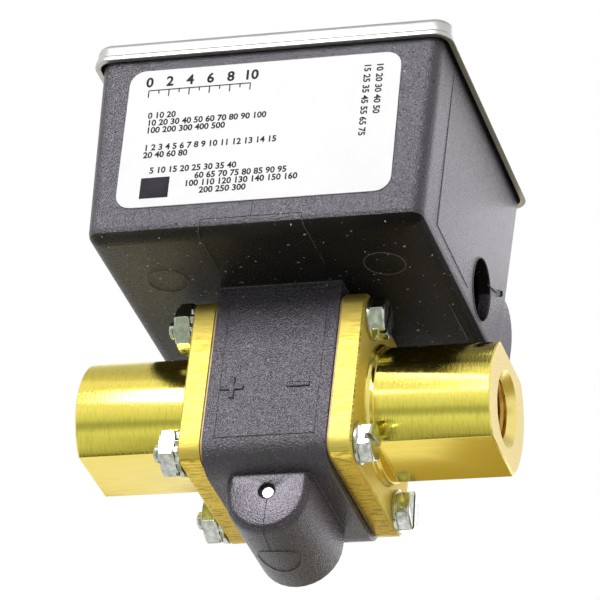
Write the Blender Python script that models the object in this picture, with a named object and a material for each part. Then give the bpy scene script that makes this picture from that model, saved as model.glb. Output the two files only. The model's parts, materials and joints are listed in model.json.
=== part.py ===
# Differential pressure switch: a moulded housing between two brass ports, with its lever and snap switch.
# Metres, +Z up, +X towards the LOW port. Pieces are drawn from the middle of the port axis, which the
# root empty carries below and in front of the wall pad, so the world origin lies on the wall pad.

import math

import bmesh
import bpy
from mathutils import Matrix, Vector

# Clearances
SEAT_GAP = 0.0003
FACE_GAP = 0.00005
PIN_CLEARANCE = 0.0001
SCREW_CLEARANCE = 0.0003

# Brass ports
PORT_END = 0.0403
BAR_RADIUS = 0.0127
BAR_HALF_FLATS = 0.0100
HUB_STEP = 0.0002
HUB_LENGTH = 0.0015
HUB_FILLET = 0.0005
FLANGE_THICK = 0.00425
FLANGE_HALF_Y = 0.01855
FLANGE_TOP = 0.0171
FLANGE_BOTTOM = -0.0172
FLANGE_CORNER = 0.0035
FLANGE_CHAMFER = 0.0003
PORT_BORE = 0.00575
PORT_BORE_DEPTH = 0.0150
PORT_CHAMFER = 0.0016
PORT_PASSAGE = 0.0030
RECESS_RADIUS = 0.0105
RECESS_DEPTH = 0.0010
SHEET_THICK = 0.0004

# Moulded housing
BODY_HALF_X = 0.0119
BODY_HALF_Y = 0.01865
BODY_BOTTOM = -0.0189
BODY_CORNER = 0.0060
BOX_BOTTOM = 0.0187
BOX_HALF_X = 0.0323
BOX_FRONT = 0.0384
BOX_REAR = 0.0183
BOX_DRAFT = 0.030
BOX_CORNER = 0.0026
BOX_REAR_CORNER = 0.0010
BOX_EDGE = 0.0025
BOX_FLOOR = 0.0019
BOX_WALL = 0.0023
BOX_RIM = 0.0589
FOOT_BACK = 0.0258
FOOT_TOP = 0.0344
FOOT_ROUND = 0.0065
FOOT_EDGE = 0.0025
FOOT_INSET = 0.00005
BOSS_RADIUS = 0.0082
BOSS_MIDDLE_Z = -0.0223
BOSS_FRONT = -0.0137
BOSS_BACK = 0.0095
BOSS_EDGE = 0.0015

# Cable entry in the LOW side wall
ENTRY_Y = 0.0024
ENTRY_Z = 0.0276
ENTRY_RADIUS = 0.0060

# Tapped holes in the wall pad
PAD_HOLE_X = 0.0220
PAD_HOLE_RADIUS = 0.0017
PAD_HOLE_DEPTH = 0.0070
WALL_PAD_Z = 0.0246

# Lever, its pin and the piston that pushes it
PIVOT_Z = -0.02215
PIN_RADIUS = 0.0013
PIN_RECESS = 0.0008
PIN_MOUTH = 0.00035
PIN_MOUTH_DEPTH = 0.0012
PIN_BACK = 0.0057
LEVER_THICK = 0.0020
LEVER_HALF_Y = 0.0040
LEVER_EYE = 0.0029
LEVER_TOP = 0.0520
LEVER_DIMPLE = 0.0024
LEVER_DIMPLE_HIGH = 0.0013
SLOT_SIDE = 0.0004
SLOT_END = 0.0008
SLOT_FOOT = 0.0013
PISTON_STROKE = 0.0006
PLATE_RADIUS = 0.0096
PLATE_THICK = 0.0025
PISTON_HUB = 0.0040
PISTON_STUD = 0.0019
STUD_WINDOW = 0.0005
STUD_REACH = 0.0050

# Mechanism bracket
BRACKET_THICK = 0.0012
BRACKET_LEFT = -0.0190
BRACKET_RIGHT = 0.0213
BRACKET_FRONT = -0.0140
BRACKET_HIGH = 0.0500
UPRIGHT_HALF_Y = 0.0046
FOLD_CORNER = 0.0002
STANDOFF_RADIUS = 0.0030
STANDOFF_HIGH = 0.0042
BRACKET_SCREW_X = (-0.0140, 0.0170)
BRACKET_SCREW_Y = -0.0105
BRACKET_REST_Y = 0.0030
SMALL_SCREW = 0.0013
SMALL_SCREW_LONG = 0.0036
SMALL_HEAD = 0.0027
SMALL_HEAD_HIGH = 0.0017

# Snap switch
CASE_LONG = 0.0278
CASE_DEEP = 0.0159
CASE_THICK = 0.0103
CASE_CLEAR = 0.0020
CASE_HOLE_END = 0.0028
CASE_HOLE_INSET = 0.0113
PLUNGER_ABOVE_MIDDLE = 0.0061
PLUNGER_RADIUS = 0.0015
PLUNGER_IN_CASE = 0.0040
BLADE_HALF_Y = 0.0024
BLADE_HALF_Z = 0.0004
BLADE_OUT = 0.0057
BLADE_IN = 0.0020
BLADE_HOLE = 0.0009
BLADE_SPACING = 0.0095

# Range spring and its adjustment
SPRING_Z = 0.0440
SPRING_LENGTH = 0.0092
SPRING_RADIUS = 0.0035
WIRE_RADIUS = 0.00045
SPRING_TURNS = 6
SEAT_RADIUS = 0.0050
SEAT_THICK = 0.0015
SEAT_HUB = 0.0026
SEAT_HUB_LONG = 0.0008
ADJUST_NUT_FLAT = 0.0040
ADJUST_NUT_LONG = 0.0032
LOCKNUT_LONG = 0.0026
STUD_RADIUS = 0.0019
STUD_TIP = 0.0052
STUD_HEAD = 0.0034
STUD_HEAD_LONG = 0.0020

# Flange screws
BOLT_Y = 0.0134
BOLT_Z = 0.01315
BOLT_RADIUS = 0.0017
BOLT_WASHER = 0.0041
BOLT_WASHER_THICK = 0.0007
BOLT_HEX_FLAT = 0.0035
BOLT_HEX_HIGH = 0.0025
BOLT_END = 0.0020
BOLT_SLOT_WIDE = 0.0011
BOLT_SLOT_DEEP = 0.0011
LOCK_WASHER_RADIUS = 0.0047
LOCK_WASHER_THICK = 0.0008
LOCK_WASHER_TEETH = 14
TOOTH_DEPTH = 0.0006
NUT_FLAT = 0.00435
NUT_THICK = 0.0031

# Cover, gasket and their screws
COVER_SIDE_REACH = 0.0014
COVER_FRONT_REACH = 0.0010
COVER_REAR_REACH = 0.0016
COVER_TOP = 0.06105
COVER_SKIRT = 0.0040
COVER_SHEET = 0.0008
COVER_ROUND = 0.0012
COVER_CORNER = 0.0033
COVER_HEM = 0.00033
COVER_HEM_HIGH = 0.0008
PILLAR_RADIUS = 0.0032
PILLAR_INSET = 0.0047
COVER_SCREW = 0.0012
COVER_SCREW_LONG = 0.0090

# Label on the front of the box
LABEL_LEFT = -0.0270
LABEL_RIGHT = 0.0261
LABEL_LOW = 0.0249
LABEL_HIGH = 0.0546
LABEL_CORNER = 0.0030
LABEL_THICK = 0.0002

BLACK_PLASTIC = ((0.028, 0.025, 0.032), 0.0, 0.5)
BRASS = ((0.80, 0.58, 0.12), 1.0, 0.28)
ZINC = ((0.72, 0.73, 0.72), 1.0, 0.3)
STEEL = ((0.55, 0.56, 0.58), 1.0, 0.35)
BRIGHT_STEEL = ((0.78, 0.79, 0.80), 1.0, 0.2)
TAN_FILM = ((0.55, 0.36, 0.13), 0.0, 0.4)
GREY_RUBBER = ((0.06, 0.06, 0.06), 0.0, 0.8)
RED_PLASTIC = ((0.30, 0.02, 0.02), 0.0, 0.35)
DARK_PLASTIC = ((0.02, 0.02, 0.025), 0.0, 0.4)
WHITE_FILM = ((0.86, 0.86, 0.86), 0.0, 0.35)

# Places that follow from the sizes above
RIM_GROWTH = BOX_DRAFT * (BOX_RIM - BOX_BOTTOM)
COVER_HALF_X = BOX_HALF_X + RIM_GROWTH + COVER_SIDE_REACH
COVER_FRONT = BOX_FRONT + RIM_GROWTH + COVER_FRONT_REACH
COVER_REAR = BOX_REAR + RIM_GROWTH + COVER_REAR_REACH
SHEET_IN = BODY_HALF_X + FACE_GAP
SHEET_OUT = SHEET_IN + SHEET_THICK
FLANGE_IN = SHEET_OUT + FACE_GAP
FLANGE_OUT = FLANGE_IN + FLANGE_THICK
FLOOR_TOP = BOX_BOTTOM + BOX_FLOOR
BRACKET_LOW = FLOOR_TOP + STANDOFF_HIGH + SEAT_GAP
BRACKET_TOP = BRACKET_LOW + BRACKET_THICK
PLATE_OUT = SHEET_IN - SEAT_GAP
WEB_HALF = PLATE_OUT - PLATE_THICK - PISTON_STROKE - SEAT_GAP
LEVER_FACE = LEVER_THICK / 2
SLOT_HALF_X = LEVER_EYE + SLOT_SIDE
SLOT_HALF_Y = LEVER_HALF_Y + SLOT_END
CASE_FACE = -LEVER_FACE - CASE_CLEAR
CASE_BACK = CASE_FACE - CASE_DEEP
CASE_LOW = BRACKET_TOP + SEAT_GAP
CASE_MIDDLE = CASE_LOW + CASE_LONG / 2
EAR_FACE = CASE_THICK / 2 + SEAT_GAP
PLUNGER_Z = CASE_MIDDLE + PLUNGER_ABOVE_MIDDLE
SPRING_START = LEVER_FACE + SEAT_GAP
SEAT_FACE = SPRING_START + SPRING_LENGTH + SEAT_GAP
NUT_FACE = SEAT_FACE + SEAT_THICK + SEAT_GAP
LOCKNUT_FACE = BRACKET_RIGHT - SEAT_GAP - LOCKNUT_LONG
WASHER_FACE = FLANGE_OUT + FACE_GAP
BOLT_NUT_FACE = WASHER_FACE + LOCK_WASHER_THICK + FACE_GAP
BOLT_TIP = BOLT_NUT_FACE + NUT_THICK + BOLT_END
GASKET_TOP = COVER_TOP - COVER_SHEET - FACE_GAP
GASKET_LOW = BOX_RIM + FACE_GAP

# How finely round and rounded shapes are stepped
NUT_SIDES = 18
ROUND = 24
HUB_SIDES = 36
BORE_SIDES = 32
PIN_SIDES = 20
POST_SIDES = 18
SMALL_POST_SIDES = 14
HOLE_SIDES = 16
SMALL_HOLE_SIDES = 12
BLADE_HOLE_SIDES = 10
BOSS_STEPS = 16
EYE_STEPS = 18
BAR_STEPS = 11
CORNER_STEPS = 6
EDGE_STEPS = 4
SMALL_STEPS = 3
WIRE_STEPS = 10


def clear_scene():
    for item in list(bpy.data.objects):
        bpy.data.objects.remove(item)


def make_material(name, finish):
    colour, metallic, roughness = finish
    material = bpy.data.materials.new(name)
    material.use_nodes = True
    shader = material.node_tree.nodes["Principled BSDF"]
    shader.inputs["Base Color"].default_value = (*colour, 1.0)
    shader.inputs["Metallic"].default_value = metallic
    shader.inputs["Roughness"].default_value = roughness
    return material


def root_empty():
    root = bpy.data.objects.new("port_axis_middle", None)
    root.location = (0.0, -FOOT_BACK, -WALL_PAD_Z)
    bpy.context.collection.objects.link(root)
    return root


def make_object(name, shape, root, finish=None, origin=(0.0, 0.0, 0.0)):
    # A piece with a finish is a part of the switch; one without is a cutter or a joined form.
    bmesh.ops.remove_doubles(shape, verts=shape.verts, dist=1e-7)
    bmesh.ops.recalc_face_normals(shape, faces=shape.faces)
    bmesh.ops.translate(shape, verts=shape.verts, vec=-Vector(origin))
    mesh = bpy.data.meshes.new(name)
    shape.to_mesh(mesh)
    shape.free()
    mesh.polygons.foreach_set("use_smooth", [True] * len(mesh.polygons))
    mesh.set_sharp_from_angle(angle=math.radians(32))
    item = bpy.data.objects.new(name, mesh)
    item.location = origin
    item.parent = root
    bpy.context.collection.objects.link(item)
    if finish is None:
        item.hide_render = True
        item.display_type = "WIRE"
    else:
        mesh.materials.append(make_material(name, finish))
    return item


def boolean(target, tool, operation):
    modifier = target.modifiers.new(f"{operation.lower()} {tool.name}", "BOOLEAN")
    modifier.operation = operation
    modifier.solver = "EXACT"
    modifier.object = tool


def place(outline, axis, along):
    # Outline pairs are (y, z) along X, (x, z) along Y and (x, y) along Z.
    if axis == "X":
        return [Vector((along, u, v)) for u, v in outline]
    if axis == "Y":
        return [Vector((u, along, v)) for u, v in outline]
    return [Vector((u, v, along)) for u, v in outline]


def arc(centre, radius, start, end, steps):
    angles = [math.radians(start + (end - start) * k / steps) for k in range(steps + 1)]
    return [(centre[0] + radius * math.cos(a), centre[1] + radius * math.sin(a)) for a in angles]


def circle(radius, count, centre=(0.0, 0.0)):
    return arc(centre, radius, 0, 360, count)[:-1]


def rounded_rectangle(low_u, high_u, low_v, high_v, radius, steps=5, high_radius=None):
    # The two corners at high v take high_radius where it is given.
    high = radius if high_radius is None else high_radius
    corners = (
        ((high_u - high, high_v - high), high, 0),
        ((low_u + high, high_v - high), high, 90),
        ((low_u + radius, low_v + radius), radius, 180),
        ((high_u - radius, low_v + radius), radius, 270),
    )
    return [point for centre, r, turn in corners for point in arc(centre, r, turn, turn + 90, steps)]


def hexagon(half_flats, count, centre=(0.0, 0.0), corner=None):
    # Evenly turned points on a hexagon with its corners at 0, 60 and so on, cut back to the corner radius.
    points = []
    for k in range(count):
        angle = 2 * math.pi * k / count
        off_flat = (angle + 1e-9) % (math.pi / 3) - math.pi / 6
        radius = half_flats / math.cos(off_flat)
        if corner is not None:
            radius = min(radius, corner)
        points.append((centre[0] + radius * math.cos(angle), centre[1] + radius * math.sin(angle)))
    return points


def star(tip_radius, root_radius, teeth, centre):
    points = []
    for k in range(2 * teeth):
        radius = tip_radius if k % 2 == 0 else root_radius
        angle = math.pi * k / teeth
        points.append((centre[0] + radius * math.cos(angle), centre[1] + radius * math.sin(angle)))
    return points


def add_loft(shape, loops, ring=False):
    # Loops of equal count joined in order; a ring joins its last loop to its first and has no caps.
    rows = [[shape.verts.new(point) for point in loop] for loop in loops]
    count = len(rows[0])
    pairs = list(zip(rows, rows[1:]))
    if ring:
        pairs.append((rows[-1], rows[0]))
    for low, high in pairs:
        for k in range(count):
            after = (k + 1) % count
            shape.faces.new((low[k], low[after], high[after], high[k]))
    if not ring:
        shape.faces.new(rows[0][::-1])
        shape.faces.new(rows[-1])


def add_prism(shape, outline, axis, low, high):
    base = shape.faces.new([shape.verts.new(point) for point in place(outline, axis, low)])
    grown = bmesh.ops.extrude_face_region(shape, geom=[base])["geom"]
    corners = [item for item in grown if isinstance(item, bmesh.types.BMVert)]
    step = place([(0.0, 0.0)], axis, high - low)[0]
    bmesh.ops.translate(shape, verts=corners, vec=step)


def add_block(shape, low, high):
    outline = [(low[0], low[1]), (high[0], low[1]), (high[0], high[1]), (low[0], high[1])]
    add_prism(shape, outline, "Z", low[2], high[2])


def add_turned(shape, axis, centre, profile, steps=ROUND, ring=False):
    # Profile pairs are (radius, distance along the axis); a ring's profile is closed and off the axis.
    direction = {"X": Vector((1, 0, 0)), "Y": Vector((0, 1, 0)), "Z": Vector((0, 0, 1))}[axis]
    sideways = Vector((0, 1, 0)) if axis == "X" else Vector((1, 0, 0))
    middle = Vector(centre)
    corners = [shape.verts.new(middle + sideways * r + direction * w) for r, w in profile]
    edges = [shape.edges.new(pair) for pair in zip(corners, corners[1:])]
    if ring:
        edges.append(shape.edges.new((corners[-1], corners[0])))
    bmesh.ops.spin(
        shape,
        geom=corners + edges,
        cent=middle,
        axis=direction,
        angle=2 * math.pi,
        steps=steps,
        use_merge=True,
    )


def add_rod(shape, axis, centre, radius, low, high, steps=ROUND):
    add_turned(shape, axis, centre, [(0, low), (radius, low), (radius, high), (0, high)], steps)


def box_loop(z, inset):
    grow = BOX_DRAFT * (z - BOX_BOTTOM) - inset
    outline = rounded_rectangle(
        -BOX_HALF_X - grow,
        BOX_HALF_X + grow,
        -BOX_FRONT - grow,
        BOX_REAR + grow,
        max(BOX_CORNER - inset, BOX_CORNER / 4),
        high_radius=max(BOX_REAR_CORNER - inset, BOX_REAR_CORNER / 4),
    )
    return place(outline, "Z", z)


def box_form():
    shape = bmesh.new()
    loops = []
    for k in range(EDGE_STEPS + 1):
        turn = math.pi / 2 * k / EDGE_STEPS
        loops.append(box_loop(BOX_BOTTOM + BOX_EDGE * (1 - math.cos(turn)), BOX_EDGE * (1 - math.sin(turn))))
    loops.append(box_loop(BOX_RIM, 0.0))
    add_loft(shape, loops)
    return shape


def cavity_form():
    shape = bmesh.new()
    inner_edge = BOX_EDGE - BOX_WALL / 2
    loops = [
        box_loop(FLOOR_TOP, BOX_WALL + inner_edge),
        box_loop(FLOOR_TOP + inner_edge * 0.3, BOX_WALL + inner_edge * 0.3),
        box_loop(FLOOR_TOP + inner_edge, BOX_WALL),
        box_loop(BOX_RIM + BOX_EDGE, BOX_WALL),
    ]
    add_loft(shape, loops)
    return shape


def foot_form():
    # The wall pad: a full-width foot at the lower back, round at the top, drafted with the side walls.
    shape = bmesh.new()
    inner = BOX_REAR - BOX_WALL / 2
    outline = [(inner, FOOT_TOP), (inner, BOX_BOTTOM + FOOT_INSET)]
    low = BOX_BOTTOM + FOOT_INSET
    outline += arc((FOOT_BACK - FOOT_EDGE, low + FOOT_EDGE), FOOT_EDGE, 270, 360, EDGE_STEPS)
    outline += arc((FOOT_BACK - FOOT_ROUND, FOOT_TOP - FOOT_ROUND), FOOT_ROUND, 0, 90, CORNER_STEPS)
    loops = []
    for side in (-1, 1):
        loop = []
        for y, z in outline:
            reach = BOX_HALF_X - FOOT_INSET + BOX_DRAFT * (z - BOX_BOTTOM)
            loop.append(Vector((side * reach, y, z)))
        loops.append(loop)
    add_loft(shape, loops)
    return shape


def body_form():
    # The lower body between the flanges, with its two round bottom corners.
    shape = bmesh.new()
    top = BOX_BOTTOM + BOX_FLOOR / 2
    outline = [(BODY_HALF_Y, top), (-BODY_HALF_Y, top)]
    low = BODY_BOTTOM + BODY_CORNER
    side = BODY_HALF_Y - BODY_CORNER
    outline += arc((-side, low), BODY_CORNER, 180, 270, CORNER_STEPS)
    outline += arc((side, low), BODY_CORNER, 270, 360, CORNER_STEPS)
    add_prism(shape, outline, "X", -BODY_HALF_X, BODY_HALF_X)
    return shape


def boss_form():
    # The half-round pivot boss under the body, its front edge rounded.
    shape = bmesh.new()
    top = BODY_BOTTOM + BOSS_EDGE

    def outline(inset):
        radius = BOSS_RADIUS - inset
        points = arc((0.0, BOSS_MIDDLE_Z), radius, 180, 360, BOSS_STEPS)
        return points + [(radius, top), (-radius, top)]

    loops = []
    for k in range(SMALL_STEPS + 1):
        turn = math.pi / 2 * k / SMALL_STEPS
        inset = BOSS_EDGE * (1 - math.sin(turn))
        loops.append(place(outline(inset), "Y", BOSS_FRONT + BOSS_EDGE * (1 - math.cos(turn))))
    back_edge = BOSS_EDGE / 3
    loops.append(place(outline(0.0), "Y", BOSS_BACK - back_edge))
    loops.append(place(outline(back_edge), "Y", BOSS_BACK))
    add_loft(shape, loops)
    return shape


def pillar_places():
    corner_x = BOX_HALF_X - PILLAR_INSET
    return ((-corner_x, -BOX_FRONT + PILLAR_INSET), (corner_x, BOX_REAR - PILLAR_INSET))


def inner_bosses():
    # Cover-screw pillars in two corners and the four standoffs that carry the bracket.
    shape = bmesh.new()
    below = FLOOR_TOP - BOX_FLOOR / 2
    for x, y in pillar_places():
        add_rod(shape, "Z", (x, y, 0.0), PILLAR_RADIUS, below, BOX_RIM, POST_SIDES)
    for x in BRACKET_SCREW_X:
        for y in (BRACKET_SCREW_Y, BRACKET_REST_Y):
            high = FLOOR_TOP + STANDOFF_HIGH
            add_rod(shape, "Z", (x, y, 0.0), STANDOFF_RADIUS, below, high, SMALL_POST_SIDES)
    return shape


def screw_pilots():
    shape = bmesh.new()
    for x, y in pillar_places():
        deep = BOX_RIM - COVER_SCREW_LONG - SCREW_CLEARANCE
        add_rod(shape, "Z", (x, y, 0.0), COVER_SCREW + SCREW_CLEARANCE, deep, COVER_TOP, SMALL_HOLE_SIDES)
    for x in BRACKET_SCREW_X:
        deep = BRACKET_TOP - SMALL_SCREW_LONG - SCREW_CLEARANCE
        pilot = SMALL_SCREW + SCREW_CLEARANCE
        add_rod(shape, "Z", (x, BRACKET_SCREW_Y, 0.0), pilot, deep, BRACKET_TOP, SMALL_HOLE_SIDES)
    for side in (-1, 1):
        add_rod(
            shape,
            "Y",
            (side * PAD_HOLE_X, 0.0, WALL_PAD_Z),
            PAD_HOLE_RADIUS,
            FOOT_BACK - PAD_HOLE_DEPTH,
            FOOT_BACK + SEAT_GAP,
            HOLE_SIDES,
        )
    return shape


def chamber_form():
    # The bore for the piston: a wide pocket for a plate on each side of the guide web.
    shape = bmesh.new()
    outside = BODY_HALF_X + FLANGE_THICK
    guide = PISTON_HUB + SCREW_CLEARANCE
    profile = [
        (0, -outside),
        (RECESS_RADIUS, -outside),
        (RECESS_RADIUS, -WEB_HALF),
        (guide, -WEB_HALF),
        (guide, WEB_HALF),
        (RECESS_RADIUS, WEB_HALF),
        (RECESS_RADIUS, outside),
        (0, outside),
    ]
    add_turned(shape, "X", (0, 0, 0), profile, BORE_SIDES)
    return shape


def lever_slot():
    shape = bmesh.new()
    bottom = PIVOT_Z - LEVER_EYE - SLOT_FOOT
    add_block(shape, (-SLOT_HALF_X, -SLOT_HALF_Y, bottom), (SLOT_HALF_X, SLOT_HALF_Y, FLOOR_TOP + BOX_FLOOR))
    return shape


def pin_bore():
    shape = bmesh.new()
    bore = PIN_RADIUS + PIN_CLEARANCE
    mouth = PIN_RADIUS + PIN_MOUTH
    outside = BOSS_FRONT - BOSS_EDGE
    profile = [
        (0, outside),
        (mouth, outside),
        (mouth, BOSS_FRONT + PIN_MOUTH_DEPTH),
        (bore, BOSS_FRONT + PIN_MOUTH_DEPTH),
        (bore, PIN_BACK + SEAT_GAP),
        (0, PIN_BACK + SEAT_GAP),
    ]
    add_turned(shape, "Y", (0, 0, PIVOT_Z), profile, PIN_SIDES)
    return shape


def entry_hole():
    shape = bmesh.new()
    inside = BOX_HALF_X - 2 * BOX_WALL
    add_rod(shape, "X", (0, ENTRY_Y, ENTRY_Z), ENTRY_RADIUS, inside, BOX_HALF_X + BOX_WALL, BORE_SIDES)
    return shape


def bolt_places():
    return [(side_y * BOLT_Y, side_z * BOLT_Z) for side_z in (1, -1) for side_y in (-1, 1)]


def bolt_holes():
    shape = bmesh.new()
    for y, z in bolt_places():
        reach = FLANGE_OUT + FLANGE_THICK
        add_rod(shape, "X", (0, y, z), BOLT_RADIUS + SCREW_CLEARANCE, -reach, reach, HOLE_SIDES)
    return shape


def make_housing(root, holes):
    housing = make_object("housing", box_form(), root, BLACK_PLASTIC)
    steps = (
        ("foot_form", foot_form(), "UNION"),
        ("body_form", body_form(), "UNION"),
        ("boss_form", boss_form(), "UNION"),
        ("cavity_cutter", cavity_form(), "DIFFERENCE"),
        ("inner_bosses", inner_bosses(), "UNION"),
        ("screw_pilot_cutter", screw_pilots(), "DIFFERENCE"),
        ("chamber_cutter", chamber_form(), "DIFFERENCE"),
        ("lever_slot_cutter", lever_slot(), "DIFFERENCE"),
        ("pin_bore_cutter", pin_bore(), "DIFFERENCE"),
        ("entry_cutter", entry_hole(), "DIFFERENCE"),
    )
    for name, shape, operation in steps:
        boolean(housing, make_object(name, shape, root), operation)
    boolean(housing, holes, "DIFFERENCE")


def flange_outline(inset=0.0):
    return rounded_rectangle(
        -FLANGE_HALF_Y + inset,
        FLANGE_HALF_Y - inset,
        FLANGE_BOTTOM + inset,
        FLANGE_TOP - inset,
        FLANGE_CORNER - inset,
    )


def bar_outline(inset):
    radius = BAR_RADIUS - inset
    flats = BAR_HALF_FLATS - inset
    edge = math.degrees(math.asin(flats / radius))
    near = arc((0, 0), radius, -edge, edge, BAR_STEPS)
    far = arc((0, 0), radius, 180 - edge, 180 + edge, BAR_STEPS)
    return near + far


def make_port(name, side, root, holes):
    # One brass turning: flange, full-round hub and a bar with two flats, bored for a pipe thread.
    flange = bmesh.new()
    chamfer = FLANGE_CHAMFER
    stations = (
        (FLANGE_IN, 0.0),
        (FLANGE_OUT - chamfer, 0.0),
        (FLANGE_OUT, chamfer),
    )
    add_loft(flange, [place(flange_outline(inset), "X", side * x) for x, inset in stations])

    hub = bmesh.new()
    hub_radius = BAR_RADIUS + HUB_STEP
    hub_end = FLANGE_OUT + HUB_LENGTH
    profile = [
        (0, FLANGE_IN + FLANGE_THICK / 2),
        (hub_radius + HUB_FILLET, FLANGE_IN + FLANGE_THICK / 2),
        (hub_radius + HUB_FILLET, FLANGE_OUT + chamfer),
        (hub_radius, FLANGE_OUT + HUB_FILLET + chamfer),
        (hub_radius, hub_end),
        (0, hub_end),
    ]
    add_turned(hub, "X", (0, 0, 0), [(r, side * x) for r, x in profile], HUB_SIDES)

    bar = bmesh.new()
    stations = ((FLANGE_OUT, 0.0), (PORT_END - chamfer, 0.0), (PORT_END, chamfer))
    add_loft(bar, [place(bar_outline(inset), "X", side * x) for x, inset in stations])

    bore = bmesh.new()
    profile = [
        (0, FLANGE_IN - SHEET_THICK),
        (RECESS_RADIUS, FLANGE_IN - SHEET_THICK),
        (RECESS_RADIUS, FLANGE_IN + RECESS_DEPTH),
        (PORT_PASSAGE, FLANGE_IN + RECESS_DEPTH),
        (PORT_PASSAGE, PORT_END - PORT_BORE_DEPTH),
        (PORT_BORE, PORT_END - PORT_BORE_DEPTH),
        (PORT_BORE, PORT_END - PORT_CHAMFER),
        (PORT_BORE + 2 * PORT_CHAMFER, PORT_END + PORT_CHAMFER),
        (0, PORT_END + PORT_CHAMFER),
    ]
    add_turned(bore, "X", (0, 0, 0), [(r, side * x) for r, x in profile], BORE_SIDES)

    port = make_object(name, flange, root, BRASS)
    boolean(port, make_object(f"{name}_hub_form", hub, root), "UNION")
    boolean(port, make_object(f"{name}_bar_form", bar, root), "UNION")
    boolean(port, make_object(f"{name}_bore_cutter", bore, root), "DIFFERENCE")
    boolean(port, holes, "DIFFERENCE")


def make_diaphragm(name, side, root, holes):
    shape = bmesh.new()
    add_prism(shape, flange_outline(FLANGE_CHAMFER), "X", side * SHEET_IN, side * SHEET_OUT)
    sheet = make_object(name, shape, root, TAN_FILM)
    boolean(sheet, holes, "DIFFERENCE")


def turn_and_move(shape, degrees, place_yz):
    # Turns a fastener about its own axis, along X, and takes it to its hole.
    bmesh.ops.transform(shape, matrix=Matrix.Rotation(math.radians(degrees), 4, "X"), verts=shape.verts)
    bmesh.ops.translate(shape, verts=shape.verts, vec=(0, *place_yz))


def make_flange_screw(name, place_yz, hex_turn, slot_turn, root):
    shape = bmesh.new()
    washer_top = WASHER_FACE + BOLT_WASHER_THICK
    hex_top = washer_top + BOLT_HEX_HIGH
    chamfer = BOLT_RADIUS / 6
    loops = [
        place(circle(BOLT_RADIUS - chamfer, NUT_SIDES), "X", -BOLT_TIP),
        place(circle(BOLT_RADIUS, NUT_SIDES), "X", -BOLT_TIP + chamfer),
        place(circle(BOLT_RADIUS, NUT_SIDES), "X", WASHER_FACE),
        place(circle(BOLT_WASHER, NUT_SIDES), "X", WASHER_FACE),
        place(circle(BOLT_WASHER, NUT_SIDES), "X", washer_top - chamfer / 2),
        place(circle(BOLT_WASHER - chamfer, NUT_SIDES), "X", washer_top),
        place(hexagon(BOLT_HEX_FLAT, NUT_SIDES), "X", washer_top),
        place(hexagon(BOLT_HEX_FLAT, NUT_SIDES), "X", hex_top - chamfer),
        place(hexagon(BOLT_HEX_FLAT - chamfer, NUT_SIDES, corner=BOLT_HEX_FLAT), "X", hex_top),
    ]
    add_loft(shape, loops)
    turn_and_move(shape, hex_turn, place_yz)
    screw = make_object(name, shape, root, ZINC)
    slot = bmesh.new()
    reach = 2 * BOLT_HEX_FLAT
    half = BOLT_SLOT_WIDE / 2
    add_block(slot, (hex_top - BOLT_SLOT_DEEP, -reach, -half), (hex_top + BOLT_SLOT_DEEP, reach, half))
    turn_and_move(slot, slot_turn, place_yz)
    boolean(screw, make_object(f"{name}_slot_cutter", slot, root), "DIFFERENCE")


def make_lock_washer(name, place_yz, root):
    shape = bmesh.new()
    outer = star(LOCK_WASHER_RADIUS, LOCK_WASHER_RADIUS - TOOTH_DEPTH, LOCK_WASHER_TEETH, place_yz)
    inner = circle(BOLT_RADIUS + SCREW_CLEARANCE, 2 * LOCK_WASHER_TEETH, place_yz)
    near = -WASHER_FACE
    far = -WASHER_FACE - LOCK_WASHER_THICK
    outside = [place(outer, "X", near), place(outer, "X", far)]
    inside = [place(inner, "X", far), place(inner, "X", near)]
    add_loft(shape, outside + inside, ring=True)
    make_object(name, shape, root, ZINC)


def nut_loops(half_flats, bore, low, high, centre):
    chamfer = (high - low) / 8
    corner = half_flats * 1.06
    inner = circle(bore, NUT_SIDES, centre)
    tight = hexagon(half_flats, NUT_SIDES, centre, corner)
    full = hexagon(half_flats, NUT_SIDES, centre)
    return [
        place(tight, "X", low),
        place(full, "X", low + chamfer),
        place(full, "X", high - chamfer),
        place(tight, "X", high),
        place(inner, "X", high),
        place(inner, "X", low),
    ]


def make_flange_nut(name, place_yz, hex_turn, root):
    shape = bmesh.new()
    bore = BOLT_RADIUS + PIN_CLEARANCE
    outer = -BOLT_NUT_FACE - NUT_THICK
    add_loft(shape, nut_loops(NUT_FLAT, bore, outer, -BOLT_NUT_FACE, (0, 0)), ring=True)
    turn_and_move(shape, hex_turn, place_yz)
    make_object(name, shape, root, ZINC)


def cover_loop(z, inset):
    outline = rounded_rectangle(
        -COVER_HALF_X + inset,
        COVER_HALF_X - inset,
        -COVER_FRONT + inset,
        COVER_REAR - inset,
        COVER_CORNER - inset,
        CORNER_STEPS,
    )
    return place(outline, "Z", z)


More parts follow.
